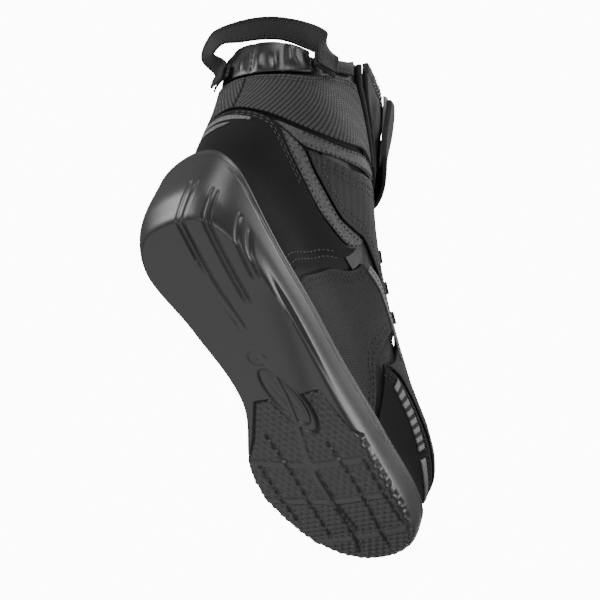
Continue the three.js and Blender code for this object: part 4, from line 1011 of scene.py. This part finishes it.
panel("shin_plate_cover",
      [(131, 6.15), (136, 6.05), (141, 6.1)], [(113, 7.15), (122, 7.35), (134, 7.3)],
      TPU_GREY, inner=PLATE_IN, outer=PLATE_OUT, pitch=1.0, body="shin_flap", nodes=("shin_plate",),
      slot="tpu_grey", relief=plate_relief, round_edge=(1.0, 1.6))
panel("strap_anchor_patch",
      [(222, 5.95), (230, 6.0), (238, 6.1)], [(226, 7.15), (234, 7.15), (242, 7.1)],
      OVERLAY, inner=PLATE_IN, outer=PLATE_OUT, pitch=1.4, body="shin_flap", nodes=("strap_anchor",),
      slot="overlay")
STRAP_LOW = [(122, 5.85), (134, 5.72), (155, 5.68), (180, 5.7), (205, 5.75), (226, 5.85), (238, 6.0)]
STRAP_TOP = [(118, 7.2), (132, 7.4), (155, 7.35), (180, 7.25), (205, 7.2), (228, 7.15), (242, 7.1)]
panel("ankle_strap_band", STRAP_LOW, STRAP_TOP, OVERLAY, inner=STRAP_IN, outer=STRAP_OUT, pitch=1.6,
      body="ankle_strap", nodes=("ankle_strap",), slot="strap", relief=strap_relief, round_edge=(1.1, 1.5))
strap_rows = [between(STRAP_LOW, STRAP_TOP, share) for share in (0.07, 0.93)]
strap_rows += [over(STRAP_LOW, STRAP_TOP, share, (0.08, 0.5, 0.92)) for share in (0.03, 0.97)]
for row in strap_rows:
    stitch(row, STRAP_OUT - 0.25, "grey", "ankle_strap", length=2.4, gap=1.4)
for drop in (0.12, 0.22, 0.32):
    stitch(moved([(98, 7.3), (110, 7.34), (118, 7.3)], rise=-drop), 5.6, "pale", "shin_flap", length=1.4,
           gap=1.6)


def build_gusset():
    """The soft skin between the boot and the foot of the shin flap."""
    rows, cols = 12, 50
    net = np.stack(np.meshgrid(np.linspace(131, 229, cols), np.linspace(5.3, 5.95, rows)), -1)
    points = shell(net[..., 0], net[..., 1], 0.5).reshape(-1, 3)
    uv = cloth_uv(np.linspace(0, 90, cols)[None], np.linspace(0, 16, rows)[:, None])
    gusset = add_mesh("flap_gusset", points, grid_faces(rows, cols), OVERLAY, None, (), uv)
    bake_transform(gusset)


build_gusset()


# ---- pull loop
LOOP_ENDS = {"lateral": (55.0, (5.76, 5.98, 6.22), 9.2), "medial": (337.0, (5.58, 5.38, 5.18), 8.0)}
# Between its sewn ends: the webbing's places, and which way its width lies there.
LOOP_ARC = [
    ((20, -33.5, 177.5), (-0.8, 0.1, 0.5)), ((14, -22, 183), (-0.7, 0, 0.7)),
    ((6, -10, 183), (-0.5, 0, 0.86)), ((-1, 0, 178), (-0.45, 0, 0.9)), ((-8.5, 12, 166.5), (-0.4, 0.3, 0.8)),
    ((-13, 21, 155), (-0.1, 0.5, 0.5)), ((-7, 27.5, 147.5), (0.3, 0.8, 0.4)),
]


def loop_line():
    def sewn(end):
        a, levels, lift = LOOP_ENDS[end]
        return [(shell(a, v, lift), unit(surface(a - 1.0, v) - surface(a + 1.0, v))) for v in levels]
    arc = [(np.array(p, float), unit(np.array(w, float))) for p, w in LOOP_ARC]
    stations = sewn("lateral") + arc + sewn("medial")
    s = np.linspace(0, 1, 150)
    path, wide = centripetal([p for p, _ in stations], s), centripetal([w for _, w in stations], s)
    tangent = unit(np.gradient(path, axis=0))
    wide = unit(wide - tangent * (wide * tangent).sum(1)[:, None])
    return path, wide, np.cross(tangent, wide)


def build_loop():
    path, wide, face = loop_line()
    half, thick, edge = 7.0, 0.62, 1.05
    flat = np.linspace(-half + 0.8, half - 0.8, 12)
    turn = np.radians(np.linspace(-35, 215, 9))
    section = [(w, thick) for w in flat] + [(half + edge * math.sin(a), edge * math.cos(a)) for a in turn]
    section += [(w, -thick) for w in flat[::-1]]
    section = np.array(section + [(-half - edge * math.sin(a), -edge * math.cos(a)) for a in turn])
    ring = path[:, None] + wide[:, None] * section[None, :, :1] + face[:, None] * section[None, :, 1:]
    swept("pull_loop_webbing", ring, path, section[:, 0], WEBBING, "pull_loop", "pull_loop")
    for w in (-half + 1.6, half - 1.6):
        for sign in (1, -1):
            line = path + wide * w + face * (sign * (thick + 0.05))
            stitch_points(line, face * sign, "dark", "pull_loop", length=2.0, gap=1.2, radius=0.26)


def build_patch(side, lower, upper, top):
    panel(f"loop_patch_{side}", lower, upper, WEBBING, inner=5.6, outer=top, pitch=1.0,
          nodes=(f"loop_tab_{side}",), slot="webbing")
    rows = [between(lower, upper, share) for share in (0.12, 0.88)]
    rows += [over(lower, upper, share, (0.1, 0.5, 0.9)) for share in (0.1, 0.9)]
    for row in rows:
        stitch(row, top + 0.05, "grey", length=1.6, gap=1.0, radius=0.3)


build_loop()
build_patch("lateral", [(47, 5.72), (55, 5.74), (63, 5.77)], [(47, 6.16), (55, 6.18), (63, 6.22)], 7.0)
build_patch("medial", [(327, 5.2), (337, 5.2), (347, 5.2)], [(327, 5.6), (337, 5.6), (347, 5.6)], 6.5)


# ---- dial
DIAL_AT, DIAL_LIFT = (181.0, 5.04), 3.2 + 0.3 + 1.2
# Profiles: radius and height over the dial's foot.
GRIP = [(2.4, 6.4), (12.0, 6.3), (12.8, 6.8), (13.0, 7.6), (13.0, 9.6), (12.7, 10.5), (11.9, 11.0),
        (10.6, 11.0), (10.2, 10.6), (9.6, 10.6), (9.2, 10.9), (4.4, 10.95), (4.0, 10.6), (3.4, 10.6),
        (3.0, 10.9), (0.01, 10.9)]
HOUSING = [(8.8, 1.5), (8.8, 5.3), (9.2, 5.6), (10.8, 5.6), (11.4, 5.1), (11.4, 1.2), (12.6, 0.1),
           (12.8, -0.8)]


def lathe(name, profile, body, node, count=120, ridges=0, depth=0.0):
    """A turned piece on the dial's axle; ridges are cut around its rim."""
    up, origin = normal(*DIAL_AT), shell(*DIAL_AT, DIAL_LIFT)
    front = unit(np.cross([0, 1, 0], up))
    across = unit(np.cross(up, front))
    turn = np.linspace(0, 2 * np.pi, count, endpoint=False)
    rim = max(r for r, z in profile) - 1.6
    wave = 1 - depth * (0.5 - 0.5 * np.cos(turn * ridges)) ** 2
    points = []
    for r, z in profile:
        rr = r * (wave if r > rim else 1)
        x, y = (rr * np.cos(turn))[:, None], (rr * np.sin(turn))[:, None]
        points.append(origin + front * x + across * y + up * z)
    faces = grid_faces(len(profile), count, wrap=True)
    return add_mesh(name, np.array(points).reshape(-1, 3), faces, TPU_BLACK, body, (node,))


lathe("dial_grip", GRIP, "dial_knob", "dial_knob", 240, 24, 0.07)
lathe("dial_housing", HOUSING, "boot", "dial_base")
panel("dial_saddle", [(158, 4.66), (169, 4.6), (181, 4.58), (193, 4.6), (204, 4.66)],
      [(158, 5.36), (169, 5.4), (181, 5.42), (193, 5.4), (204, 5.36)], TPU_BLACK, inner=3.5, outer=4.8,
      pitch=1.5, slot="tpu_black", round_edge=(0.9, 1.4))

for side in ("lateral", "medial"):
    for k in (1, 2, 3):
        bevel = recolour(f"lace_guide_{side}_{k}", TPU_BLACK).modifiers.new("bevel", "BEVEL")
        bevel.width, bevel.segments = 0.0005, 3

build_stitches({"dark": THREAD_DARK, "grey": THREAD_GREY, "pale": THREAD_PALE})


# ---- stage, light, camera
FLOOR_HALF, FLOOR_Z = 6.0, -0.0006
# The camera's axes in the frame, its lens in mm on a 36 mm sensor, and its place in the pattern's own mm.
VIEW_X = Vector((0.4266688, -0.8482685, 0.3136785))
VIEW_DOWN = Vector((0.7634551, 0.1518750, -0.6277501))
VIEW_IN = Vector((0.4848608, 0.5073209, 0.7124153))
LENS, SENSOR = 173.0886, 36.0
CAMERA_AT = place([-728.436, -897.617, -1191.743])


def one_sided(material):
    """The floor hides nothing from a camera below it."""
    nodes, links = material.node_tree.nodes, material.node_tree.links
    clear, both = nodes.new("ShaderNodeBsdfTransparent"), nodes.new("ShaderNodeMixShader")
    side = nodes.new("ShaderNodeNewGeometry")
    links.new(side.outputs["Backfacing"], both.inputs[0])
    links.new(nodes["Principled BSDF"].outputs[0], both.inputs[1])
    links.new(clear.outputs[0], both.inputs[2])
    links.new(both.outputs[0], nodes["Material Output"].inputs["Surface"])


def build_floor():
    mesh = bpy.data.meshes.new("floor")
    corners = [(x * FLOOR_HALF, y * FLOOR_HALF, FLOOR_Z) for x, y in ((-1, -1), (1, -1), (1, 1), (-1, 1))]
    mesh.from_pydata(corners, [], [(0, 1, 2, 3)])
    mesh.materials.append(FLOOR)
    one_sided(FLOOR)
    floor = new_object("floor", mesh)
    floor.visible_shadow = floor.visible_diffuse = floor.visible_glossy = False


def build_world(dim, bright):
    """White all around: dim as light on the boot, bright where the camera sees it."""
    world = bpy.data.worlds.new("studio")
    bpy.context.scene.world = world
    world.use_nodes = True
    nodes, links = world.node_tree.nodes, world.node_tree.links
    sky = nodes["Background"]
    sky.inputs[0].default_value = (1.0, 1.0, 1.0, 1)
    seen, power = nodes.new("ShaderNodeLightPath"), nodes.new("ShaderNodeMapRange")
    power.inputs["To Min"].default_value, power.inputs["To Max"].default_value = dim, bright
    links.new(seen.outputs["Is Camera Ray"], power.inputs["Value"])
    links.new(power.outputs["Result"], sky.inputs[1])


def light(name, direction, distance, size, power, target=(0.0, 0.0, 0.08)):
    lamp = bpy.data.lights.new(name, "AREA")
    lamp.shape, lamp.size, lamp.energy = "DISK", size, power
    obj = new_object(name, lamp)
    d = Vector(direction).normalized()
    obj.location = Vector(target) + d * distance
    obj.rotation_mode = "QUATERNION"
    obj.rotation_quaternion = d.to_track_quat("Z", "Y")
    obj.visible_camera = False


def build_camera():
    data = bpy.data.cameras.new("camera")
    data.sensor_width, data.lens = SENSOR, LENS
    data.clip_start, data.clip_end = 0.05, 50
    camera = new_object("camera", data)
    rows = [(VIEW_X[k], -VIEW_DOWN[k], -VIEW_IN[k], CAMERA_AT[k]) for k in range(3)]
    camera.matrix_world = Matrix(rows + [(0, 0, 0, 1)])
    bpy.context.scene.camera = camera


build_floor()
build_world(0.16, 12.0)
up_in_view = -VIEW_DOWN
light("key", -VIEW_IN * 0.25 + up_in_view * 0.6 - VIEW_X * 1.0, 1.2, 0.7, 18)
light("side", -VIEW_IN * 0.1 + VIEW_X * 1.0 - up_in_view * 0.15, 1.2, 0.6, 12)
light("over", -VIEW_IN * 0.35 + VIEW_X * 0.25 + up_in_view * 1.0, 1.4, 0.8, 14)
light("below", (-0.25, -0.35, -1.0), 1.5, 1.1, 12)
light("bounce", (0.485, 0.507, -0.712), 1.5, 1.7, 7)
light("top", (0.2, -0.3, 1.0), 1.6, 1.2, 14)
light("front", (0.9, 0.5, 0.5), 1.8, 1.2, 8)
build_camera()
